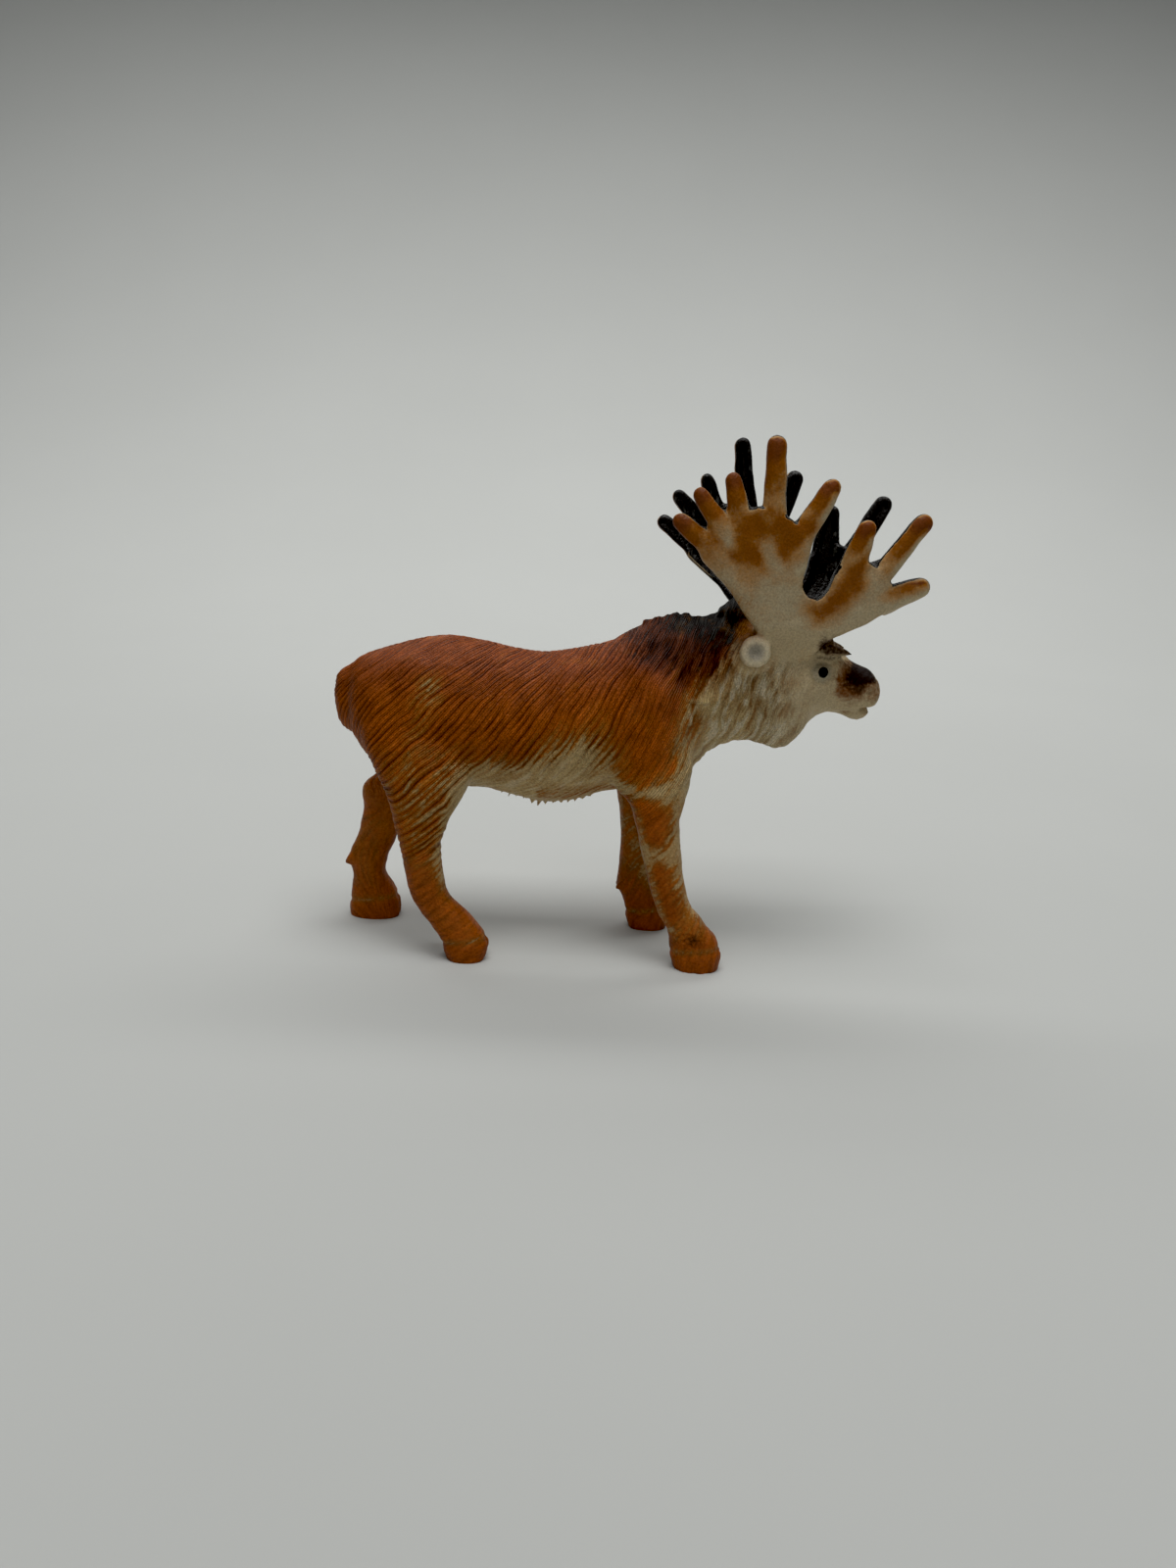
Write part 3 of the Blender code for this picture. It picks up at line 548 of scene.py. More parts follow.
def add_palm(shapes, side):
    """The antler's plate, bent outwards as it rises."""
    flat = bmesh.new()
    face = flat.faces.new([flat.verts.new((x, 0, z)) for x, z in PALM])
    bmesh.ops.triangulate(flat, faces=[face])
    for _ in range(3):
        bmesh.ops.subdivide_edges(flat, edges=flat.edges[:], cuts=1, use_grid_fill=True)
    flat.verts.index_update()
    layers = []
    for face_side in (-1, 1):
        layer = []
        for v in flat.verts:
            x, z = placed(v.co.x, v.co.z, side)
            y = antler_off(v.co.x, v.co.z) + face_side * plate_half(v.co.z)
            layer.append(shapes.verts.new((x, side * y, z)))
        layers.append(layer)
    for face in flat.faces:
        ids = [v.index for v in face.verts]
        shapes.faces.new([layers[0][i] for i in ids])
        shapes.faces.new([layers[1][i] for i in reversed(ids)])
    for edge in flat.edges:
        if len(edge.link_faces) == 1:
            a, b = (v.index for v in edge.verts)
            shapes.faces.new((layers[0][a], layers[0][b], layers[1][b], layers[1][a]))
    flat.free()


def tine_spots(root, tip, root_share, tip_share):
    """Middles and half widths along a tine, with its round end."""
    steps, cap = 14, 5
    start, end = Vector(root), Vector(tip)
    along = (end - start).normalized()
    spots = []
    for i in range(steps + 1):
        t = i / steps
        spots.append((start.lerp(end, t), TINE * (root_share + (tip_share - root_share) * t)))
    for i in range(1, cap + 1):
        a = 0.5 * math.pi * i / (cap + 0.3)
        spots.append((end + along * (math.sin(a) * TINE * tip_share), TINE * tip_share * math.cos(a)))
    return along, spots


def add_tine(shapes, tine, side):
    """A flat, round-ended tine that runs out of the palm."""
    along, spots = tine_spots(*tine)
    across = Vector((-along.y, along.x))
    rings = []
    for spot, radius in spots:
        ring = []
        for wide, deep in round_points(16, 2.4):
            flat = spot + across * (wide * radius)
            x, z = placed(flat.x, flat.y, side)
            y = antler_off(flat.x, flat.y) + deep * min(radius, TINE) * TINE_FLATNESS
            ring.append((x, side * y, z))
        rings.append(ring)
    add_tube(shapes, rings)


def add_antlers(shapes):
    for side in (-1, 1):
        add_palm(shapes, side)
        for tine in TINES:
            add_tine(shapes, tine, side)


def add_ears(shapes):
    x, share, z = EARS
    for side in (-1, 1):
        add_ball(shapes, (x, side * share * FLANK, z), (EAR, 0.62 * EAR, EAR))


def bump(distance, reach):
    """1 in the middle, and smoothly down to 0 at its reach."""
    return (1 - np.clip(np.abs(distance) / reach, 0, 1) ** 2) ** 2


def dent(points, middle, reach, deep):
    return deep * bump(np.linalg.norm(points - np.array(middle), axis=1), reach)


def on_run(points, a, b, most=1.0):
    """How far along a straight run each point is, as a share of it, and how far off the run."""
    a, b = np.array(a, float), np.array(b, float)
    t = np.clip((points - a) @ (b - a) / ((b - a) @ (b - a)), 0, most)
    return t, np.linalg.norm(points - a - t[:, None] * (b - a), axis=1)


def to_path(points, path):
    """Each point's distance to a path of straight runs."""
    return np.minimum.reduce([on_run(points, a, b)[1] for a, b in zip(path, path[1:])])


def in_outline(x, z, outline):
    """Which points of the side view are inside a closed outline."""
    inside = np.zeros(len(x), bool)
    for (ax, az), (bx, bz) in zip(outline, outline[1:] + outline[:1]):
        crosses = (az > z) != (bz > z)
        rise = (bz - az) if bz != az else 1.0
        inside ^= crosses & (x < ax + (z - az) / rise * (bx - ax))
    return inside


def from_rim(x, z):
    """How far a point of the side view is inside the antler's rim."""
    depth = inside(x, z, PALM)
    for root, tip, root_share, tip_share in TINES:
        t, off = on_run(np.stack([x, z], 1), root, tip)
        depth = np.maximum(depth, TINE * (root_share + (tip_share - root_share) * t) - off)
    return depth


def face_cuts(points):
    """How deep the ear cups, eye rings, brow slits, mouth and nostrils are cut."""
    y = points[:, 1]
    cut = np.zeros(len(points))
    for side in (-1, 1):
        ear = (EARS[0] + 0.05, side * (EARS[1] * FLANK + 0.5 * EAR), EARS[2])
        cut += dent(points, ear, 0.86 * EAR, 0.52 * EAR)
        eye = np.array((EYES[0], side * EYES[1] * FLANK, EYES[2]))
        around = np.linalg.norm((points - eye) * (1, 0.4, 1), axis=1)
        cut += 0.30 * bump(around - 0.95, 0.5) * (side * y > 0)
        brow_y = side * (BROWS[1] * FLANK + 0.7)
        slit = ((21.4, brow_y, 31.0), (24.0, brow_y, 31.1))
        cut += 0.30 * bump(to_path(points, slit), 0.7)
        mouth = ((24.3, side * 2.4, 26.1), (26.0, side * 2.4, 26.0), (28.0, side * 1.2, 26.1))
        cut += 0.42 * bump(to_path(points, mouth), 0.55)
        cut += dent(points, (27.7, side * 1.3, 28.2), 0.7, 0.35)
    return cut


def throat_cuts(points):
    """How deep the hanging locks of the throat and the bell are parted."""
    x, _, z = points.T
    across = x + 0.12 * z + 0.35 * np.sin(0.9 * z)
    parting = (0.5 - 0.5 * np.cos(2 * math.pi * across / THROAT_LOCK)) ** 2
    where = bump(x - 15.6, 6.4) ** 0.5 * np.clip((30.0 - z) / 3.0, 0, 1)
    return 0.26 * parting * where * calm_bell(points)


def calm_bell(points):
    """How much of the throat's relief is left: the bell's lower edge is nearly smooth."""
    x, _, z = points.T
    return 1 - 0.75 * fall(z, 23.2, 25.6) * ramp(x, 11.0, 13.5)


def hoof_cuts(points):
    """How deep the crease round each hoof and the cleft down its front are cut."""
    x, y, z = points.T
    cut = np.zeros(len(points))
    for middle, side, near, above in each_hoof(points):
        here = near & (z < 4.5)
        cleft = bump(y - side * HOOF_LINE, 0.6) * bump(z - 0.6, 2.4) * (x > middle)
        cut += 0.12 * bump(above, 0.5) * here
        cut += 0.45 * cleft * here
    return cut


def dish_cuts(points, normals):
    """How deep the inner faces of the palms and the tines are dished."""
    cut = np.zeros(len(points))
    for side, near, x, z in each_antler(points, 35.0, 0.0):
        inner = np.clip(-side * normals[near, 1] * 2 - 0.6, 0, 1)
        low = np.clip((points[near, 2] - 35.0) / 3.0, 0, 1)
        cut[near] += ANTLER_DISH * np.clip((from_rim(x, z) - 0.30) / 0.45, 0, 1) * inner * low
    return cut


def noise(points, scale, seed):
    """Smooth noise between -1 and 1 over space, with lumps of about the given size."""
    place = points / scale
    cell = np.floor(place).astype(np.int64)
    t = place - cell
    t = t * t * (3 - 2 * t)
    total = np.zeros(len(points))
    for corner in range(8):
        step = np.array((corner & 1, corner >> 1 & 1, corner >> 2 & 1))
        x, y, z = ((cell + step) & 0xFFFF).astype(np.uint32).T
        mixed = x * np.uint32(374761393) + y * np.uint32(668265263) + z * np.uint32(2246822519)
        mixed += np.uint32(seed * 7919)
        mixed = (mixed ^ (mixed >> np.uint32(13))) * np.uint32(1274126177)
        value = ((mixed ^ (mixed >> np.uint32(16))) & np.uint32(0xFFFF)) / 32767.5 - 1
        total += value * np.prod(np.where(step, t, 1 - t), axis=1)
    return total


def ramp(value, low, high):
    """0 below low, 1 above high, and smooth between."""
    t = np.clip((value - low) / (high - low), 0, 1)
    return t * t * (3 - 2 * t)


def fall(value, low, high):
    """1 below low, 0 above high, and smooth between."""
    return 1 - ramp(value, low, high)


def unrolled(points):
    """Side-view places, opened out over the back, the belly, the rump and the chest."""
    x, y, z = points.T
    inset = 0.62 * np.clip(FLANK - np.abs(y), 0, FLANK)
    along = x - inset * ramp(-x, 17.0, 23.0) + 0.6 * inset * ramp(x, 8.0, 12.0) * ramp(-z, -24.0, -18.0)
    high = z + inset * ramp(z, 24.0, 29.5) - inset * ramp(-z, -20.5, -16.5) * ramp(z, 13.5, 15.5)
    return along, high


def comb_terms(along, high):
    """The comb's polynomial terms and their slopes at each place."""
    a, b = along / 26.0, (high - 18.0) / 18.0
    value = np.stack([a**i * b**j for i, j in POWERS], 1)
    by_a = np.stack([i * a ** max(i - 1, 0) * b**j / 26.0 for i, j in POWERS], 1)
    by_b = np.stack([j * a**i * b ** max(j - 1, 0) / 18.0 for i, j in POWERS], 1)
    return value, by_a, by_b


def comb_slope(along, high):
    """The strands' slope at each place, from the nearest entries of the comb."""
    total, weights = np.zeros(len(along)), np.zeros(len(along))
    for x, z, degrees in COMB:
        weight = 1 / ((along - x) ** 2 + (high - z) ** 2 + COMB_REACH) ** 1.5
        total += weight * degrees
        weights += weight
    return np.radians(total / weights)


def comb_fit(along, high):
    """Coefficients of two fields: one grows across the strands, and one along them."""
    _, by_a, by_b = comb_terms(along, high)
    slope = comb_slope(along, high)
    grid = np.concatenate([by_a, by_b, np.eye(len(POWERS)) * 0.02])
    calm = np.zeros(len(POWERS))
    across = np.concatenate([-np.sin(slope), np.cos(slope), calm])
    down = np.concatenate([-np.cos(slope), -np.sin(slope), calm])
    return [np.linalg.lstsq(grid, wanted, rcond=None)[0] for wanted in (across, down)]


def antler_share(points):
    """How much each point belongs to an antler."""
    share = np.zeros(len(points))
    for side, near, x, z in each_antler(points, 30.5):
        off = np.abs(side * points[near, 1] - antler_off(x, z))
        share[near] = ramp(from_rim(x, z), -0.7, -0.3) * fall(off, 1.0, 1.8) * ramp(z, 32.6, 34.4)
    return share


def mouth_cuts(points):
    """How much deeper than the solid's the mouth is cut, and the nostrils."""
    x, y, z = points.T
    flat = np.stack([x, z], 1)
    cut = (0.15 + 0.50 * ramp(x, 25.6, 27.6)) * bump(to_path(flat, MOUTH), 0.42) * ramp(x, 23.6, 24.6)
    chin = 0.35 * ramp(x, 26.9, 28.0) * fall(z, 25.7, 26.3)
    side_y = np.abs(y)
    nostril = 0.30 * bump(np.hypot((x - 27.0) * 0.8, z - 27.9), 0.55) * ramp(side_y, 0.6, 1.0)
    return cut + chin + nostril


def from_spot(points, spot):
    """Each point's distance to the nearer of a pair of spots: x, share of the flank, z."""
    x, share, z = spot
    away = [np.linalg.norm(points - np.array((x, side * share * FLANK, z)), axis=1) for side in (-1, 1)]
    return np.minimum(*away)


def low_belly(points):
    x, _, z = points.T
    return fall(z, 18.0, 22.5) * ramp(x, -14.0, -10.0) * fall(x, 2.0, 5.0)


def fur_cover(points, antler):
    """How strongly each place is furred, from 0 on hooves, face and antlers to 1 on the flanks."""
    x, y, z = points.T
    face = ramp(x - 0.35 * (z - 26), 17.0, 19.5) * ramp(z, 23.5, 26.0)
    ear = fall(from_spot(points, EARS), 1.35 * EAR, 1.8 * EAR)
    crown = ramp(z, 29.6, 31.6) * ramp(x + 0.3 * (z - 31), 14.6, 16.0)
    cover = (1 - antler) * (1 - 0.9 * face) * (1 - ear) * (1 - crown)
    hind = fall(z, 8.0, 13.5) * (x < -5)
    fore = fall(z, 14.5, 18.0) * (x > -5)
    far = fall(z, 13.0, 18.0) * (y > 0.5)
    cover = cover * (1 - 0.6 * low_belly(points))
    return cover * (1 - 0.90 * np.maximum.reduce([hind, 0.95 * fore, far]))


def drawn_smooth(points):
    """Where the clay is drawn smooth first: the antlers' roots, the ears' rims, the mane and the tail."""
    x, y, z = points.T
    side, ear = np.abs(y), from_spot(points, EARS)
    away = ramp(ear, 1.15 * EAR, 1.6 * EAR)
    root = ramp(z, 29.2, 30.4) * fall(z, 33.2, 34.8) * ramp(x, 13.4, 14.6) * fall(x, 20.2, 21.4)
    mane = ramp(x, 2.5, 4.0) * fall(x, 12.6, 14.4) * ramp(z, 26.5, 28.5)
    mane *= 0.30 + 0.70 * ramp(side, 0.6, 1.5)
    tail = ramp(-x, 19.5, 21.5) * ramp(z, 18.0, 20.0) * fall(z, 28.6, 30.2) * ramp(side, 0.3, 1.0)
    rim = bump(ear - 1.75 * EAR, 1.05 * EAR)
    return np.maximum.reduce([root * away * ramp(side, 0.8, 1.6), 0.8 * mane * away, tail, rim])


def streaks(strand, run, wide, long, seed):
    """Noise drawn out along the fur: wide is in strands, and long in millimetres."""
    return noise(np.stack([strand / wide, run / long, np.zeros(len(run))], 1), 1.0, seed)


def tufted(points):
    """How far the coat changes from combed strands to the neck's and the throat's loose tufts."""
    x, _, z = points.T
    return ramp(x - 0.25 * (z - 28), 1.5, 9.0) * ramp(z, 13.0, 18.0)


def combed(points, fields):
    """The fur's height, from -1 in the deepest partings to 0, and each place's strand and run."""
    along, high = unrolled(points)
    value, _, _ = comb_terms(along, high)
    across, run = value @ fields[0], value @ fields[1]
    strand = (across + 0.20 * noise(points, 2.6, 11) + 0.07 * noise(points, 1.3, 12)) / STRAND
    strand += 0.38 * streaks(strand, run, 2.0, 3.0, 16)
    fading = np.clip(0.72 + 0.55 * streaks(np.round(strand), run, 1.0, 2.2, 14), 0.1, 1.1)
    parting = (0.5 + 0.5 * np.cos(2 * math.pi * strand)) ** 1.3 * fading
    stroke = 0.5 - 0.5 * streaks(strand, run, 0.55, 3.0, 13)
    lock = 0.5 - 0.5 * streaks(strand, run, 1.7, 2.6, 15)
    hair = 0.5 - 0.5 * streaks(strand, run, 0.75, 2.2, 17)
    loose = tufted(points)
    height = -(0.80 * parting + 0.35 * stroke) * (1 - 0.7 * loose)
    mane = ramp(points[:, 2] + 0.35 * points[:, 0], 30.5, 32.5) * ramp(points[:, 0], 2.0, 4.5)
    tufts = (0.9 + 0.5 * mane) * lock + (0.8 + 0.9 * mane) * hair
    firm = (0.45 + 0.55 * ramp(points[:, 2], 22.0, 27.0)) * calm_bell(points)
    return height - firm * loose * TUFT_DEPTH / FUR_DEPTH * (tufts - 0.5), strand, run


def throat_share(points):
    x, _, z = points.T
    cheek = ramp(x, 18.0, 20.0) * ramp(z, 24.5, 27.0)
    return bump(x - 15.6, 7.4) ** 0.5 * np.clip((31.6 - z) / 2.6, 0, 1) * (1 - 0.75 * cheek)


def lock_cuts(points):
    """How deep the throat's locks are parted, finer than in the solid."""
    x, _, z = points.T
    wave = x + 0.10 * z + 0.3 * noise(points, 2.2, 21)
    return 0.12 * (1 - np.abs(np.sin(math.pi * wave / 0.95))) ** 2 * throat_share(points) * calm_bell(points)


def folds(points):
    """The two small folds where the shoulder meets the throat."""
    flat = points[:, [0, 2]]
    return np.maximum(*(bump(to_path(flat, fold), 0.45) for fold in FOLDS)) * (np.abs(points[:, 1]) > 1.0)


def fringe_drop(points):
    """How far the small points under the middle of the belly hang down."""
    x, y, z = points.T
    saw = x / 0.62 + 0.3 * noise(points, 1.1, 22)
    point = 1 - (saw - np.floor(saw))
    reach = 0.20 + 0.16 * noise(points, 0.8, 23)
    under = ramp(x, -9.4, -8.0) * fall(x, 0.2, 1.0) * bump(y, 1.3) * fall(z, 15.6, 16.6)
    return reach * (0.35 + point) * under


def antler_swell(points, normals):
    """How far each tine's back stands proud of the palm, where the tine runs on into it."""
    swell = np.zeros(len(points))
    for side, near, x, z in each_antler(points, 34.0):
        flat = np.stack([x, z], 1)
        ridge = np.zeros(len(flat))
        for root, tip, _, _ in TINES:
            inner = Vector(root).lerp(Vector(ANTLER_ROOT), 0.42)
            ridge = np.maximum(ridge, bump(to_path(flat, (tuple(inner), root, tip)), 1.25))
        swell[near] = 0.20 * ridge * ramp(z, 34.5, 37.5) * ramp(side * normals[near, 1], 0.1, 0.5)
    return swell


def fused(shapes, grain, smoothing):
    """The shapes as one skin: a voxel remesh with the given grain, then rounds of smoothing."""
    bmesh.ops.recalc_face_normals(shapes, faces=shapes.faces[:])
    mesh = bpy.data.meshes.new("clay")
    shapes.to_mesh(mesh)
    shapes.free()
    clay = bpy.data.objects.new("clay", mesh)
    bpy.context.scene.collection.objects.link(clay)
    remesh = clay.modifiers.new("one_skin", "REMESH")
    remesh.mode = "VOXEL"
    remesh.voxel_size = grain
    smooth = clay.modifiers.new("soften", "SMOOTH")
    smooth.factor = 0.5
    smooth.iterations = smoothing
    return applied(clay)


def applied(obj):
    """The object with its modifiers applied."""
    graph = bpy.context.evaluated_depsgraph_get()
    mesh = bpy.data.meshes.new_from_object(obj.evaluated_get(graph))
    obj.modifiers.clear()
    old = obj.data
    obj.data = mesh
    bpy.data.meshes.remove(old)
    return obj


def vectors(rows, name):
    """The vectors that rows of mesh data hold under a name."""
    found = np.empty(len(rows) * 3, np.float32)
    rows.foreach_get(name, found)
    return found.reshape(-1, 3).astype(float)


def places(mesh):
    return vectors(mesh.vertices, "co")


def outward(mesh):
    return vectors(mesh.vertex_normals, "vector")


def move(mesh, points):
    mesh.vertices.foreach_set("co", points.astype(np.float32).ravel())
    mesh.update()


def keep(mesh, name, values, kind="FLOAT"):
    """Stores values on the mesh's vertices under a name."""
    layer = mesh.attributes.new(name, kind, "POINT")
    layer.data.foreach_set("value" if kind == "FLOAT" else "vector", values.astype(np.float32).ravel())


def taken_off(mesh, name):
    """The vectors stored under a name, which are then removed."""
    found = vectors(mesh.attributes[name].data, "vector")
    mesh.attributes.remove(mesh.attributes[name])
    return found


def soften(mesh, points, weights, rounds):
    """The points, each drawn towards its neighbours' middle by its weight, round after round."""
    ends = np.empty(len(mesh.edges) * 2, np.int32)
    mesh.edges.foreach_get("vertices", ends)
    a, b = ends.reshape(-1, 2).T
    used = (weights[a] > 0) | (weights[b] > 0)
    a, b, count = a[used], b[used], len(points)
    both = np.maximum(np.bincount(a, minlength=count) + np.bincount(b, minlength=count), 1)
    share = (0.5 * weights)[:, None]
    points = points.copy()
    for _ in range(rounds):
        near = [np.bincount(a, points[b, i], count) + np.bincount(b, points[a, i], count) for i in range(3)]
        points += share * (np.stack(near, 1) / both[:, None] - points)
    return points


def thin(obj, facets):
    """Thins the mesh to about this many triangles, most where it is flat."""
    obj.data.calc_loop_triangles()
    fewer = obj.modifiers.new("fewer_facets", "DECIMATE")
    fewer.ratio = min(1.0, facets / len(obj.data.loop_triangles))
    fewer.use_collapse_triangulate = True
    return applied(obj)


def cut_soles(mesh):
    """Cuts the hooves flat on the floor, and closes each cut with a level face."""
    skin = bmesh.new()
    skin.from_mesh(mesh)
    cut = bmesh.ops.bisect_plane(
        skin, geom=skin.verts[:] + skin.edges[:] + skin.faces[:], dist=1e-4,
        plane_co=(0, 0, 0), plane_no=(0, 0, 1), clear_inner=True,
    )
    rim = [e for e in cut["geom_cut"] if isinstance(e, bmesh.types.BMEdge)]
    bmesh.ops.edgeloop_fill(skin, edges=rim)
    bmesh.ops.triangulate(skin, faces=[f for f in skin.faces if len(f.verts) > 3])
    skin.to_mesh(mesh)
    skin.free()


def fit_to_solid(points):
    """Sculpt places as metres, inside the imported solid's box."""
    low, high = points.min(axis=0), points.max(axis=0)
    room_low, room_high = np.array(LOW), np.array(HIGH)
    size = np.minimum((room_high - room_low) / (high - low), MM)
    fitted = (points - (low + high) / 2) * size + (room_low + room_high) / 2
    fitted[:, 2] = (points[:, 2] - low[2]) * size[2] + room_low[2]
    return fitted


def shaped():
    """The figurine's skin before it is carved."""
    shapes = bmesh.new()
    add_body(shapes)
    add_muscles(shapes)
    for stations, side in LEGS:
        add_leg(shapes, stations, side)
    core = fused(shapes, BODY_GRAIN, BODY_SMOOTHING)
    skin = bmesh.new()
    skin.from_mesh(core.data)
    bpy.data.objects.remove(core)
    for add in (add_tail, add_mane, add_nape, add_belly_fringe, add_brows, add_dewclaws, add_ears):
        add(skin)
    add_antlers(skin)
    return fused(skin, SKIN_GRAIN, SKIN_SMOOTHING)


def carve(mesh):
    """Cuts the face, the locks and the hooves, and combs the fur; returns the fur's fields."""
    points = places(mesh)
    move(mesh, soften(mesh, points, drawn_smooth(points), DRAWN_SMOOTHING))
    points, normals = places(mesh), outward(mesh)
    keep(mesh, "rest", points, "FLOAT_VECTOR")
    antler = antler_share(points)
    cover = fur_cover(points, antler)
    fields = comb_fit(*unrolled(points[cover > 0.3][::60]))
    height, _, _ = combed(points, fields)
    cut = sum(cuts(points) for cuts in (face_cuts, throat_cuts, hoof_cuts, lock_cuts, mouth_cuts))
    out = FUR_DEPTH * height * cover + antler_swell(points, normals) - cut - dish_cuts(points, normals)
    out += 0.04 * noise(points, 0.75, 24) + 0.06 * noise(points, 1.7, 25) + 0.16 * folds(points)
    out += 0.07 * noise(points, 1.3, 26) * antler
    moved = points + normals * out[:, None]
    moved[:, 2] -= fringe_drop(points)
    move(mesh, soften(mesh, moved, antler, ANTLER_SMOOTHING))
    return fields


def inside(along, high, outline):
    """How far inside a closed side-view outline each place is, and below 0 outside it."""
    away = to_path(np.stack([along, high], 1), outline + outline[:1])
    return np.where(in_outline(along, high, outline), away, -away)


def over(*covers):
    """Several thin coats of paint, one over another."""
    return 1 - np.prod([1 - np.clip(cover, 0, 1) for cover in covers], axis=0)


def foreleg_cover(points, lump):
    """The right foreleg: two orange patches on a tan ground, and a pale front edge with strokes into it."""
    x, _, z = points.T
    knee = ramp(inside(x, z, KNEE_PATCH) + 0.3 * lump, -0.8, 0.6)
    shin = ramp(inside(x, z, SHIN_PATCH) + 0.3 * lump, -0.8, 0.6)
    edges = through(RIGHT_FORELEG, np.clip(z, 0.0, 20.0))
    from_back, from_front = x - edges[:, 1], edges[:, 2] - x
    stroke = ramp(np.sin(2 * math.pi * (z - 0.9 * x + 0.2 * lump) / 0.95), -0.3, 0.7)
    pale = np.maximum(fall(from_front, 0.1, 0.8), 0.9 * fall(from_front, 0.9, 2.3) * (1 - stroke))
    tan = 0.52 + 0.08 * lump + 0.30 * fall(z, 4.5, 8.0)
    cover = (tan + (1 - tan) * np.maximum(knee, shin)) * (1 - 0.35 * bump(from_back - 0.5, 0.7))
    return cover * (1 - 0.40 * pale * ramp(z, 4.5, 8.0)) * fall(z, 16.8, 18.6)


def hind_leg_cover(points, lump):
    """The right hind leg: streaks over the thigh, solid low down, and pale along the front."""
    x, _, z = points.T
    thigh = 0.58 * ramp(inside(x, z, THIGH) + 0.5 * lump, -2.2, 1.6)
    rear = 0.5 * ramp(-x - 0.30 * (z - 14), 15.6, 19.5) * ramp(z, 6.0, 9.0) * fall(z, 21.0, 24.0)
    shank = 0.96 * fall(z + 0.7 * lump, 7.0, 15.0)
    front = through(RIGHT_HIND_LEG, np.clip(z, 0.0, 20.0))[:, 2] - x
    return over(thigh, rear, shank) * (1 - 0.6 * fall(front, 0.1, 1.1) * ramp(z, 5.0, 10.0))


def left_leg_covers(points, lump):
    """The left legs, plainer than the right: solid behind, and pale along the front edge before."""
    x, _, z = points.T
    edge = through(LEFT_FORELEG, np.clip(z, 0.0, 20.0))[:, 2] - x
    fore = 0.72 + 0.20 * fall(z, 4.0, 11.0) + 0.08 * lump
    fore = fore * (1 - 0.55 * fall(edge + 0.3 * lump, 0.3, 1.8) * ramp(z, 3.8, 7.0))
    low = fall(z, 17.0, 19.0)
    return (0.92 + 0.10 * lump) * low, fore * low


def coat_cover(points):
    """How thickly the orange-brown spray covers the coat and the legs."""
    x, y, z = points.T
    flat = points[:, [0, 2]]
    lump = noise(points, 2.4, 31) + 0.6 * noise(points, 1.0, 32)
    soft = 1 - 0.20 * ramp(x, 3.0, 7.0) + 0.35 * ramp(z, 21.0, 24.0) * ramp(x, 5.0, 8.0)
    coat = ramp((inside(x, z, COAT) + 0.5 * lump) / soft, -2.8, 2.6)
    coat = coat * (1 - 0.8 * bump(to_path(flat, ELBOW), 0.9) * (y < 0))
    coat = coat * (1 - 0.60 * bump(to_path(flat, STIFLE) + 0.5 * lump, 2.0) * (y < 0))
    left_hind, left_fore = left_leg_covers(points, lump)
    hind = np.where(y < 0.5, hind_leg_cover(points, lump), left_hind)
    fore = np.where(y < 0.5, foreleg_cover(points, lump), left_fore)
    crease = np.zeros(len(x))
    for _, _, near, above in each_hoof(points):
        crease = np.maximum(crease, bump(above - 0.25, 0.5) * near)
    inner = ramp(3.4 - np.abs(y), 0.0, 1.2) * fall(z, 17.0, 19.0) * ramp(z, 9.0, 12.0)
    cover = over(coat, np.where(x < -5, hind, fore), 0.97 * fall(z, 2.6, 4.6))
    # Less paint on the insides of the legs and at the hoof creases; the folds are left pale as a painted
    # highlight on their ridges
    return cover * (1 - 0.6 * inner) * (1 - 0.26 * crease) * (1 - 0.6 * folds(points))


def neck_paint(points, antler):
    """The red tone of the back, the maroon of the withers and the black of the mane and nape."""
    x, _, z = points.T
    lump = noise(points, 2.0, 41) + 0.5 * noise(points, 0.8, 42)
    red = ramp(z + 0.8 * lump, 24.5, 31.0) * fall(x, 6.0, 10.0)
    maroon = ramp(inside(x, z, WITHERS) + 0.4 * lump, -2.0, 1.3)
    black = ramp(inside(x, z, NAPE) + 0.3 * lump, -1.3, 0.8) * (1 - antler)
    return red, np.clip(maroon, 0, 1) * (1 - antler), black


def face_paint(points, antler):
    """The muzzle's dark patch with its brown fade, the brow's brown, the lips' smudge, and painted shade
    along the slit under the brow.
    """
    x, y, z = points.T
    grain = 0.25 * noise(points, 0.7, 51)
    black = ramp(inside(x, z, MUZZLE) + 1.6 * grain, -0.5, 1.1)
    fade = 0.8 * ramp(inside(x, z, MUZZLE_FADE) + 1.6 * grain, -1.0, 1.0) * ramp(x, 22.4, 23.6)
    brow = ramp(z - 31.35 + 0.22 * (x - 22.6) + grain, 0.0, 0.5) * ramp(x, 20.7, 21.4) * (1 - antler)
    # A dark line along the slit under the brow: painted shade
    slit = bump(to_path(np.stack([x, z], 1), BROW_SLIT), 0.36) * (np.abs(y) > 1.0)
    smudge = bump(np.hypot(x - 24.8, (z - 25.7) * 1.6), 1.0)
    tip = 0.55 * ramp(x, 25.4, 27.0) * ramp(z, 26.4, 27.4)
    brown = np.clip(np.maximum.reduce([fade, 0.62 * brow, 0.5 * smudge, tip]), 0, 1)
    hoof_spot = 0.62 * bump(np.hypot(0.8 * (x - 11.0), z - 3.5), 1.5) * (y < 0)
    return np.maximum.reduce([black, 0.55 * slit, 0.70 * brow, hoof_spot]), brown * (1 - antler)


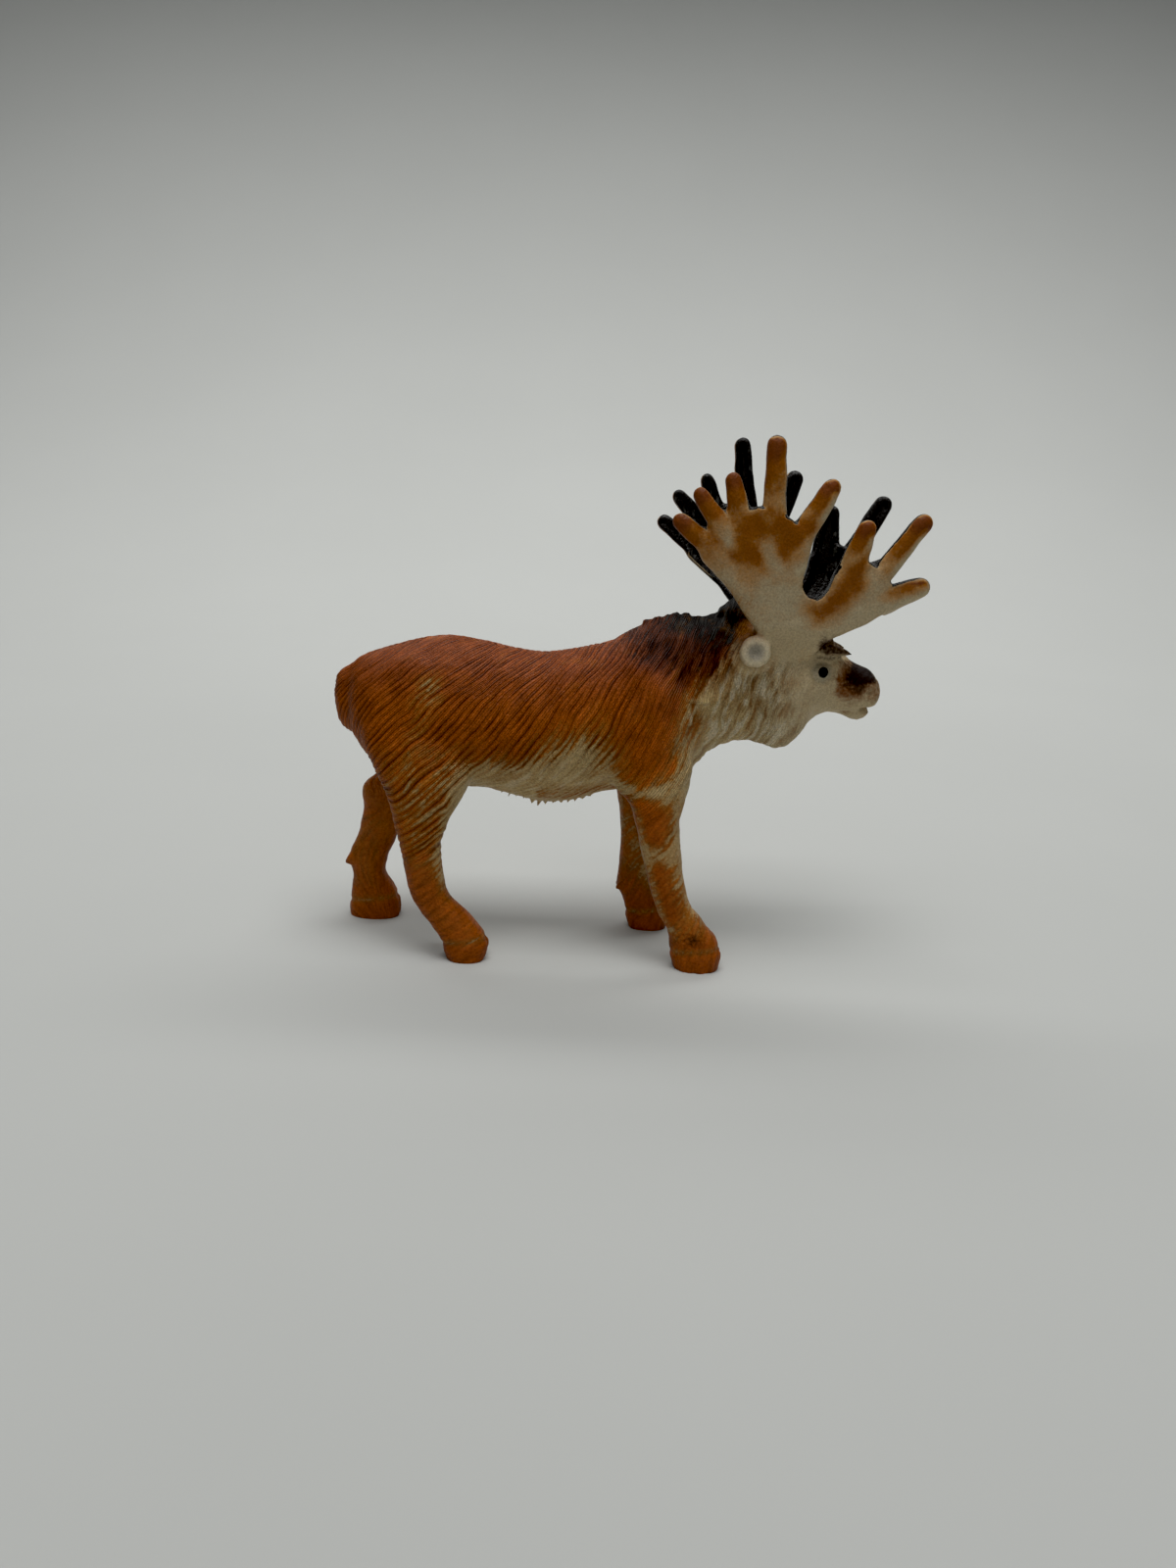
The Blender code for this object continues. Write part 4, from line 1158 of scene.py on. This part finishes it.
def on_tines(x, z):
    """How far out along a tine each place is, and how near to the tine's trailing edge."""
    flat = np.stack([x, z], 1)
    out, pale = np.zeros(len(flat)), np.zeros(len(flat))
    for root, tip, _, _ in TINES:
        along = (np.array(tip) - root) / np.linalg.norm(np.array(tip) - root)
        t, away = on_run(flat, root, tip, 1.1)
        off = (flat - root) @ np.array((along[1], -along[0]))
        near = fall(away, 0.9, 1.7)
        out = np.maximum(out, ramp(t, -0.25, 1.0) * near)
        reach = ramp(tip[0], 14.0, 20.0) * (1 - ramp(t, 0.80, 1.0) * (tip[1] > 40))
        pale = np.maximum(pale, ramp(off, 0.05 - 0.5 * (tip[1] < 40), 0.70) * near * reach)
    return out, pale


def antler_spray(x, z, out, pale, fine, lump):
    """How thick the orange airbrush is, at places of the right antler's side view."""
    flat = np.stack([x, z], 1)
    cloud = 0.92 * ramp(inside(x, z, PALM_CLOUD) + 0.9 * fine + 0.6 * lump, -2.4, 1.7)
    streak = np.maximum(*(bump(to_path(flat, path), 1.1) for path in PALE_STREAKS))
    front = 0.88 * ramp(inside(x, z, FRONT_CLOUD) + 0.7 * fine, -1.9, 1.2)
    wash = 0.16 * ramp(z + lump, 34.5, 38.0)
    tines = (0.45 * ramp(out, 0.0, 0.3) + 0.55 * out) * (1 - 0.85 * pale)
    return np.maximum.reduce([tines, cloud * (1 - 0.75 * streak), front, wash])


def antler_black(x, z, out, forward, inward, up, fine):
    """How black the same places are: on inner faces, on edges that face up, and along the rims."""
    rim = from_rim(x, z)
    notch = ramp(z, 37.5, 39.5) * fall(out, 0.15, 0.5) * fall(rim, 0.15, 0.6)
    edge = (0.85 - 0.55 * ramp(out, 0.93, 1.0) + 1.1 * notch) * np.clip(up, -0.2, 1)
    lean = 0.16 - 0.34 * np.maximum(ramp(x, 20.6, 21.6), fall(z, 40.0, 41.0))
    dark = ramp(inward + edge + lean * forward + 0.10 * fine, 0.06, 0.26) * ramp(z, 33.6, 35.2)
    ridge = bump(rim - 0.25, 0.18) * fall(x, 11.0, 13.5) * fall(z, 40.0, 41.5)
    dark *= 1 - 0.7 * ridge * ramp(inward, 0.0, 0.4)
    above = ramp(up + 0.6 * forward, 0.05, 0.5) * np.maximum(ramp(z, 38.5, 40.0), ramp(x, 18.5, 20.5))
    return np.maximum(dark, 0.62 * fall(rim + 0.10 * fine, 0.06, 0.34) * above)


def antler_paint(points, normals, antler):
    """The antlers' orange airbrush outside, and their black inside."""
    spray, black = np.zeros(len(points)), np.zeros(len(points))
    fine, lump = noise(points, 1.1, 61), noise(points, 2.3, 62)
    for side, near, x, z in each_antler(points, 32.0):
        out, pale = on_tines(x, z)
        forward, left, up = normals[near].T
        spray[near] = antler_spray(x, z, out, pale, fine[near], lump[near])
        black[near] = antler_black(x, z, out, forward, -side * left, up, fine[near])
    return spray * antler * (1 - black), black * antler


def paint(mesh, rest, normals, fields):
    """Stores the masks that the material mixes its paints by."""
    antler = antler_share(rest)
    cover = fur_cover(rest, antler)
    height, strand, run = combed(rest, fields)
    red, maroon, nape = neck_paint(rest, antler)
    black, brown = face_paint(rest, antler)
    spray, inner = antler_paint(rest, normals, antler)
    ear = from_spot(rest, (EARS[0] + 0.05, EARS[1] + 0.5 * EAR / FLANK, EARS[2]))
    above = np.hypot(rest[:, 0] - EARS[0] + 0.5, rest[:, 2] - EARS[2] - 1.4)
    halo = bump(above, 2.1) * (np.abs(rest[:, 1]) > 1.2) * (1 - 0.5 * antler)
    pale = np.maximum(antler, 0.8 * ramp(rest[:, 0] + 0.3 * (rest[:, 2] - 28), 12.0, 19.0))
    loose = tufted(rest)
    throat = [throat_share(rest) * (1 - antler), folds(rest), 0.45 * low_belly(rest)]
    masks = {
        "coat": coat_cover(rest), "red": red, "maroon": maroon, "nape": nape, "black": black,
        "brown": brown, "spray": spray, "inner": inner, "halo": halo, "antler": antler,
        "ridge": 1 + height * cover * (1 - 0.30 * loose), "loose": loose, "strand": strand, "run": run,
        "fur": cover, "ear": ear, "eye": from_spot(rest, EYES), "pale": pale,
        "throat": np.maximum.reduce(throat),
    }
    for name, values in masks.items():
        keep(mesh, name, values)


class Value:
    """A number or a colour that a material works out, so that a sum of them is written as a sum."""

    def __init__(self, wiring, socket):
        self.wiring = wiring
        self.socket = socket

    def __add__(self, other):
        return self.wiring.math("ADD", self, other)

    def __sub__(self, other):
        return self.wiring.math("SUBTRACT", self, other)

    def __rsub__(self, other):
        return self.wiring.math("SUBTRACT", other, self)

    def __mul__(self, other):
        return self.wiring.math("MULTIPLY", self, other)


class Wiring:
    """A new material, and short names for the nodes that it is wired from."""

    def __init__(self, name):
        self.material = bpy.data.materials.new(name)
        self.material.use_nodes = True
        self.tree = self.material.node_tree
        self.shader = self.tree.nodes["Principled BSDF"]

    def feed(self, slot, value):
        if isinstance(value, Value):
            self.tree.links.new(value.socket, slot)
        else:
            slot.default_value = value

    def set(self, name, value):
        self.feed(self.shader.inputs[name], value)

    def node(self, kind, inputs, output=0, **settings):
        """One output of a new node."""
        made = self.tree.nodes.new(kind)
        for name, value in settings.items():
            setattr(made, name, value)
        for slot, value in inputs.items():
            self.feed(made.inputs[slot], value)
        return Value(self, made.outputs[output])

    def mask(self, name):
        return self.node("ShaderNodeAttribute", {}, "Fac", attribute_name=name)

    def math(self, operation, *values, clamp=False):
        return self.node("ShaderNodeMath", dict(enumerate(values)), operation=operation, use_clamp=clamp)

    def ramp(self, value, low, high):
        inputs = {"Value": value, "From Min": low, "From Max": high}
        return self.node("ShaderNodeMapRange", inputs, interpolation_type="SMOOTHSTEP")

    def noise(self, place, scale, detail):
        return self.node("ShaderNodeTexNoise", {"Vector": place, "Scale": scale, "Detail": detail}, "Fac")

    def grain(self, size, detail=2.0, stretch=(1, 1, 1)):
        """Noise from about 0 to 1, with lumps of the given size in sculpt millimetres."""
        place = self.node("ShaderNodeTexCoord", {}, "Object")
        place = self.node("ShaderNodeMapping", {"Vector": place, "Scale": stretch})
        return self.noise(place, 1 / (size * MM), detail)

    def drawn(self, across, along, detail):
        """Noise drawn out along the fur: how often it changes for each strand and each millimetre."""
        inputs = {"X": self.mask("strand") * across, "Y": self.mask("run") * along}
        return self.noise(self.node("ShaderNodeCombineXYZ", inputs), 1.0, detail)

    def mix(self, amount, a, b):
        inputs = {0: amount}
        for slot, colour in ((6, a), (7, b)):
            inputs[slot] = colour if isinstance(colour, Value) else (*colour, 1)
        return self.node("ShaderNodeMix", inputs, 2, data_type="RGBA")

    def shade(self, colour, factor):
        """The colour made lighter or darker by a factor."""
        return self.node("ShaderNodeVectorMath", {0: colour, "Scale": factor}, operation="SCALE")


def sprayed(w, mask, groove, wisp, grain):
    """How much paint lies at a place: where a spray thins out it stays in the partings."""
    thin = mask * (1.0 - mask) * 4.0
    held = (groove - 0.22) + (wisp - 0.5) * 1.5 + (grain - 0.5) * 0.7
    return w.math("MAXIMUM", w.math("MULTIPLY_ADD", held, thin, mask, clamp=True), mask * 0.52)


def speckled(w, mask, grain, low, high, rough=0.5):
    """A mask whose edge is broken up by grain."""
    return w.ramp(mask + (grain - 0.5) * rough, low, high)


def fur_nodes(w):
    """The partings' darkness (partly pooled paint, partly painted shade), a noise drawn out along the
    strands, and a tone for each strand.
    """
    fine, wisp = w.grain(0.30), w.drawn(1.5, 0.42, 2.5)
    across = w.math("ABSOLUTE", w.math("FRACT", w.mask("strand")) - 0.5) * 2.0
    wander = (fine - 0.5) * 0.5 + (wisp - 0.5) * 1.2
    line = w.ramp(across + wander, 0.35, 1.15) * w.mask("fur") * (1.0 - w.mask("loose") * 0.75)
    # Darker where the carved partings are deep and along lines at the partings: partly pooled paint, partly
    # painted shade
    groove = w.math("MULTIPLY_ADD", w.mask("ridge"), -0.80, 0.84, clamp=True) * 0.80 + line * 0.26
    return groove, wisp, wisp * 1.5 + w.grain(2.2) * 0.4 + 0.05


def throat_nodes(w, colour):
    """The throat's brown stains and chalky strands, drawn out along its locks."""
    lock, throat = w.drawn(0.9, 0.34, 4.0), w.mask("throat")
    colour = w.mix(w.ramp(lock, 0.50, 0.66) * throat * 0.80, colour, WASH)
    return w.mix(w.ramp(lock, 0.50, 0.38) * throat * 0.85, colour, CHALK)


def coat_nodes(w, colour, groove, wisp, tone, fine):
    """The coat's sprays over the bare vinyl: orange, red along the back, maroon, and black streaked with
    painted sheen.
    """
    coat = sprayed(w, w.mask("coat"), groove, wisp, fine)
    deep = groove + (1.0 - w.mask("fur")) * (fine * 0.75)
    # The partings take the deeper colours: partly pooled paint, partly painted shade
    orange = w.mix(deep, LIGHT_ORANGE, DEEP_ORANGE)
    red = w.mix(groove, RED_BROWN, DEEP_RED)
    gold = w.shade(w.mix(deep * 0.8, GOLD, DEEP_ORANGE), tone)
    colour = w.mix(w.math("MULTIPLY", coat, 1.6, clamp=True), colour, gold)
    thick = w.math("MULTIPLY_ADD", coat, 1.6, -0.6, clamp=True)
    colour = w.mix(thick, colour, w.shade(w.mix(w.mask("red"), orange, red), tone))
    hairs = w.drawn(3.2, 0.5, 2.0)
    strands = (hairs - 0.5) * 2.4 + (groove * 0.4 + 0.15)
    maroon = sprayed(w, w.mask("maroon"), strands, wisp, fine)
    shaded = groove * 0.6 + w.ramp(hairs, 0.42, 0.60) * 0.6
    colour = w.mix(maroon, colour, w.shade(w.mix(shaded, LIGHT_MAROON, MAROON), tone))
    # Grey streaks over the black of the mane and nape: painted sheen
    hair = w.mix(w.ramp(hairs, 0.48, 0.70), BLACK, PAINTED_SHEEN)
    return w.mix(sprayed(w, w.mask("nape"), strands, wisp, fine), colour, hair)


def antler_nodes(w, colour, fine, broad):
    """The antlers' airbrush, and the black inside with its scratches."""
    spray, blotch = w.mask("spray"), broad - 0.5
    cover = spray + blotch * 0.8 + (fine - 0.5) * 0.35
    tint = w.mix(w.ramp(spray + blotch, 0.55, 0.95), TINE_ORANGE, TINE_BROWN)
    tint = w.mix(w.ramp(spray, 0.93, 1.0), tint, TINE_TIP)
    colour = w.mix(w.math("MULTIPLY_ADD", cover, 1.30, -0.10, clamp=True), colour, tint)
    inner = w.ramp(w.mask("inner"), 0.35, 0.65)
    scratch = w.ramp(w.grain(0.5, 3.0, (1, 1, 0.35)), 0.60, 0.74) * 0.11
    return w.mix(inner, colour, w.mix(scratch, BLACK, SCRATCH)), inner


def face_nodes(w, colour, fine, bare):
    """The face's brown and black, the ears' rings with a painted highlight and their hollows with painted
    shade, and the eyes.
    """
    halo = speckled(w, w.mask("halo"), fine, 0.15, 0.75) * 0.9
    colour = w.mix(halo, colour, w.mix(w.ramp(fine, 0.62, 0.42), HALO, BROWN))
    colour = w.mix(speckled(w, w.mask("brown"), fine, 0.15, 0.90, 0.6), colour, BROWN)
    # The muzzle's dark paint, which also holds the painted shade along the brow slits
    colour = w.mix(speckled(w, w.mask("black"), fine, 0.15, 0.90, 0.7), colour, MUZZLE_BROWN)
    ear, eye = w.mask("ear"), w.mask("eye")
    # A pale ring round each ear's hollow: painted highlight on its rim
    colour = w.mix(w.ramp(ear, 2.05, 1.05) * bare * 0.72, colour, CHALK)
    # Grey in each ear's hollow: painted shade
    colour = w.mix(w.ramp(ear, 1.20, 0.60), colour, EAR_HOLLOW_SHADE)
    colour = w.mix(w.ramp(eye, 1.3, 0.8) * 0.7, colour, EYE_GREY)
    pupil = w.ramp(eye, 0.58, 0.50)
    return w.mix(pupil, colour, PUPIL), pupil


def painted_vinyl():
    """Cream vinyl with sprayed and brushed paints, and darker partings in the fur, partly pooled paint and
    partly painted shade.
    """
    w = Wiring("painted_vinyl")
    fine, speck, broad = w.grain(0.30), w.grain(0.13, 1.0), w.grain(2.2)
    fur, pale = w.mask("fur"), w.mask("pale")
    groove, wisp, tone = fur_nodes(w)
    # An ochre wash over the bare vinyl, heavier in the partings: partly wash, partly painted shade
    dust_and_shade = groove * 0.55 + (fine * 0.5 + wisp * 0.6)
    dust_and_shade = w.ramp(dust_and_shade, 0.50, 1.05) * (0.40 - pale * 0.32)
    colour = throat_nodes(w, w.mix(dust_and_shade, w.mix(pale, CREAM, BONE), WASH))
    colour = coat_nodes(w, colour, groove, wisp, tone, fine)
    colour, inner = antler_nodes(w, colour, fine, broad)
    colour, pupil = face_nodes(w, colour, fine, 1.0 - inner)
    mottle = (w.grain(0.17, 3.0) - 0.5) * (fur * 0.7 + 1.0) + 1.0
    w.set("Base Color", w.shade(colour, mottle))
    w.set("Roughness", (fine - 0.5) * 0.20 + (0.50 - w.math("MAXIMUM", inner, pupil) * 0.24))
    w.set("Specular IOR Level", 0.16)
    w.set("Subsurface Weight", 0.10)
    w.set("Subsurface Radius", (1.0, 0.55, 0.30))
    w.set("Subsurface Scale", 0.6 * MM)
    hair = w.math("SINE", w.mask("strand") * (2 * math.pi * 3)) * (fur * 0.5)
    height = (hair + speck * 0.5) + (fine * 0.8 + wisp * 0.9)
    w.set("Normal", w.node("ShaderNodeBump", {"Strength": 0.8, "Distance": 0.09 * MM, "Height": height}))
    return w.material


def paper():
    w = Wiring("pale_paper")
    w.set("Base Color", w.mix(w.ramp(w.grain(60.0, 3.0), 0.2, 0.8), *PAPER))
    w.set("Roughness", 0.9)
    w.set("Specular IOR Level", 0.1)
    return w.material


def add_stage():
    """A sheet of paper that lies flat under the figurine and curves up behind it."""
    half, front, back, radius, top = 0.9, -0.6, 0.16, 0.30, 1.0
    run = [(front, 0.0), (back, 0.0)]
    for i in range(1, 25):
        a = 0.5 * math.pi * i / 24
        run.append((back + radius * math.sin(a), radius * (1 - math.cos(a))))
    run.append((back + radius, top))
    sheet = bmesh.new()
    rows = [[sheet.verts.new((x, y, z)) for x in (-half, half)] for y, z in run]
    for near, far in zip(rows, rows[1:]):
        face = sheet.faces.new((near[0], near[1], far[1], far[0]))
        face.smooth = True
    mesh = bpy.data.meshes.new("floor")
    sheet.to_mesh(mesh)
    sheet.free()
    mesh.materials.append(paper())
    floor = bpy.data.objects.new("floor", mesh)
    bpy.context.scene.collection.objects.link(floor)


def from_sculpt(point):
    return (Vector(point) - Vector((SCULPT_MIDDLE, 0, 0))) * MM


def facing(place, aim):
    return (Vector(aim) - Vector(place)).to_track_quat("-Z", "Y").to_matrix().to_4x4()


def add_light(name, place, aim, size, power):
    lamp = bpy.data.lights.new(name, "AREA")
    lamp.shape = "RECTANGLE"
    lamp.size, lamp.size_y = size
    lamp.energy = power
    lamp.spread = LIGHT_SPREAD
    light = bpy.data.objects.new(name, lamp)
    light.matrix_world = Matrix.Translation(place) @ facing(place, aim)
    bpy.context.scene.collection.objects.link(light)


def add_camera():
    """The photograph's view: close, a little above, and rolled slightly."""
    back = Vector((0, -math.cos(CAMERA_DOWN), math.sin(CAMERA_DOWN))) * CAMERA_AWAY
    aim, place = from_sculpt(AIM), from_sculpt(Vector(AIM) + back)
    lens = bpy.data.cameras.new("camera")
    lens.lens = LENS
    lens.clip_start = 0.002
    lens.clip_end = 20.0
    camera = bpy.data.objects.new("camera", lens)
    turn = facing(place, aim) @ Matrix.Rotation(CAMERA_ROLL, 4, "Z")
    camera.matrix_world = Matrix.Translation(place) @ turn
    bpy.context.scene.collection.objects.link(camera)
    bpy.context.scene.camera = camera


def add_world():
    world = bpy.data.worlds.new("studio")
    world.use_nodes = True
    sky = world.node_tree.nodes["Background"]
    sky.inputs["Color"].default_value = SKY
    sky.inputs["Strength"].default_value = SKY_STRENGTH
    bpy.context.scene.world = world
    view = bpy.context.scene.view_settings
    view.view_transform = "Standard"
    view.use_curve_mapping = True
    view.curve_mapping.black_level = (BLACK_LEVEL,) * 3
    view.curve_mapping.update()


def add_figurine():
    obj = shaped()
    fields = carve(obj.data)
    thin(obj, MOST_FACETS)
    cut_soles(obj.data)
    mesh = obj.data
    rest = taken_off(mesh, "rest")
    paint(mesh, rest, outward(mesh), fields)
    move(mesh, fit_to_solid(places(mesh)))
    mesh.shade_smooth()
    mesh.materials.append(painted_vinyl())
    obj.name = mesh.name = "moose_figurine"
    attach(obj, "root")
    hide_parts(NODE)


add_figurine()
add_stage()
add_camera()
for light in LIGHTS:
    add_light(*light)
add_world()
